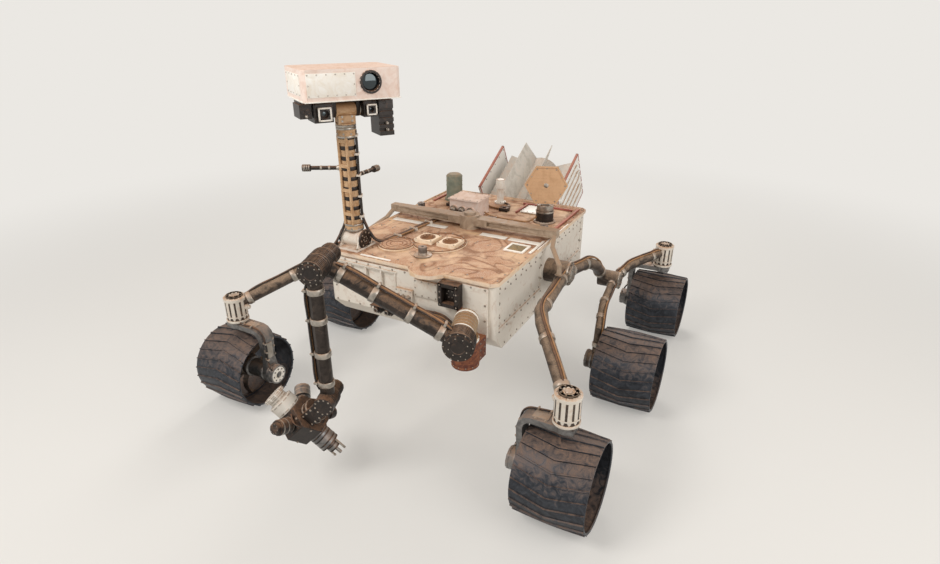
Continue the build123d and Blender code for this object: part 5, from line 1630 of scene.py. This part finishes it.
def aim(thing, target):
    """Turn a lamp or a camera so that it looks at a point."""
    away = thing.location - Vector(target)
    thing.rotation_euler = away.to_track_quat("Z", "Y").to_euler()


target = Vector((0.22, -0.30, 0.88))
camera = bpy.data.objects.new("camera", bpy.data.cameras.new("camera"))
bpy.context.scene.collection.objects.link(camera)
camera.location = (1.85, -3.35, 2.45)
aim(camera, target)
camera.data.sensor_width = 36
camera.data.lens = 22.5
camera.data.clip_end = 100
bpy.context.scene.camera = camera
print("camera at", [round(c, 2) for c in camera.location])

# %% [markdown]
# Plain studio light shows shape and finish best: one large soft key from the front, a broad fill
# from the other side and a rim lamp from behind. Small lamps would cut hard shadows into so many
# small parts, and large ones wrap round them.

# %% Studio lamps
scene = bpy.context.scene
scene.view_settings.view_transform = "Standard"
LAMP_TARGET = (0, 0, 0.8)


def lamp(name, place, size, watts):
    """A large square soft lamp aimed at the rover."""
    data = bpy.data.lights.new(name, "AREA")
    data.shape = "SQUARE"
    data.size = size
    data.energy = watts
    thing = bpy.data.objects.new(name, data)
    scene.collection.objects.link(thing)
    thing.location = place
    aim(thing, LAMP_TARGET)


lamp("key", (-2.2, -4.6, 5.4), 2.6, 256)
lamp("fill", (5.0, -1.6, 3.4), 3.6, 138)
lamp("rim", (-1.5, 5.0, 4.6), 3.0, 190)

print("three lamps hung")

# %% [markdown]
# The world has two tasks. It lights the rover dimly and evenly from all sides, and it shows a
# clean pale tone to the camera, to mirrors and through glass. A light path node tells the two
# kinds of ray apart, so neither task disturbs the other.

# %% Sky and background
PALE_TONE = linear("#ebe8e3")


def shown_ray(tree):
    """A value of 1 for the rays that show a surface: to the camera, in a mirror, through glass."""
    path = add(tree, "ShaderNodeLightPath")
    seen = add(tree, "ShaderNodeMath", {0: path.outputs["Is Camera Ray"],
                                        1: path.outputs["Is Glossy Ray"]}, operation="MAXIMUM")
    seen = add(tree, "ShaderNodeMath", {0: seen.outputs["Value"],
                                        1: path.outputs["Is Transmission Ray"]},
               operation="MAXIMUM")
    return seen.outputs["Value"]


world = bpy.data.worlds.new("studio")
scene.world = world
world.use_nodes = True
sky = world.node_tree
sky.nodes.clear()
dim = add(sky, "ShaderNodeBackground", {"Color": linear("#f4f1ec"), "Strength": 0.52})
pale = add(sky, "ShaderNodeBackground", {"Color": PALE_TONE, "Strength": 1.0})
both = add(sky, "ShaderNodeMixShader", {
    0: shown_ray(sky), 1: dim.outputs["Background"], 2: pale.outputs["Background"]})
add(sky, "ShaderNodeOutputWorld", {"Surface": both.outputs["Shader"]})

print("sky ready")

# %% [markdown]
# The floor is a large pale matt sheet that keeps the rover's shadow. Its far parts would show as a
# grey band against the background, so with growing distance it blends into the same pale tone,
# and again only for the rays that show it.

# %% Floor
floor_mesh = bpy.data.meshes.new("floor")
work = bmesh.new()
bmesh.ops.create_grid(work, x_segments=1, y_segments=1, size=60)
work.to_mesh(floor_mesh)
work.free()
floor_finish = bpy.data.materials.new("pale_matt_floor")
floor_finish.use_nodes = True
ground = floor_finish.node_tree
ground.nodes.clear()
spot = add(ground, "ShaderNodeTexCoord")
away = add(ground, "ShaderNodeVectorMath", {0: spot.outputs["Object"]}, operation="LENGTH")
fade = add(ground, "ShaderNodeMapRange", {
    "Value": away.outputs["Value"], "From Min": 2.4, "From Max": 8.0,
    "To Min": 0.35, "To Max": 1.0},
    interpolation_type="SMOOTHSTEP")
share = add(ground, "ShaderNodeMath", {0: fade.outputs["Result"], 1: shown_ray(ground)},
            operation="MULTIPLY")
matt = add(ground, "ShaderNodeBsdfDiffuse", {"Color": linear("#d6d2cc")})
pale_floor = add(ground, "ShaderNodeEmission", {"Color": PALE_TONE, "Strength": 1.0})
mixed = add(ground, "ShaderNodeMixShader", {
    0: share.outputs["Value"], 1: matt.outputs["BSDF"], 2: pale_floor.outputs["Emission"]})
add(ground, "ShaderNodeOutputMaterial", {"Surface": mixed.outputs["Shader"]})
floor_mesh.materials.append(floor_finish)
floor = bpy.data.objects.new("floor", floor_mesh)
scene.collection.objects.link(floor)
print("studio ready")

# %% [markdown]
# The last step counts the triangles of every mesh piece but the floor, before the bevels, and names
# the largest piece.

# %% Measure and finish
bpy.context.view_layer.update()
faces = {thing.name: sum(len(face.vertices) - 2 for face in thing.data.polygons)
         for thing in scene.objects if thing.type == "MESH" and not thing.name.startswith("floor")}
print("triangles before bevels", sum(faces.values()), "largest piece", max(faces, key=faces.get),
      max(faces.values()))
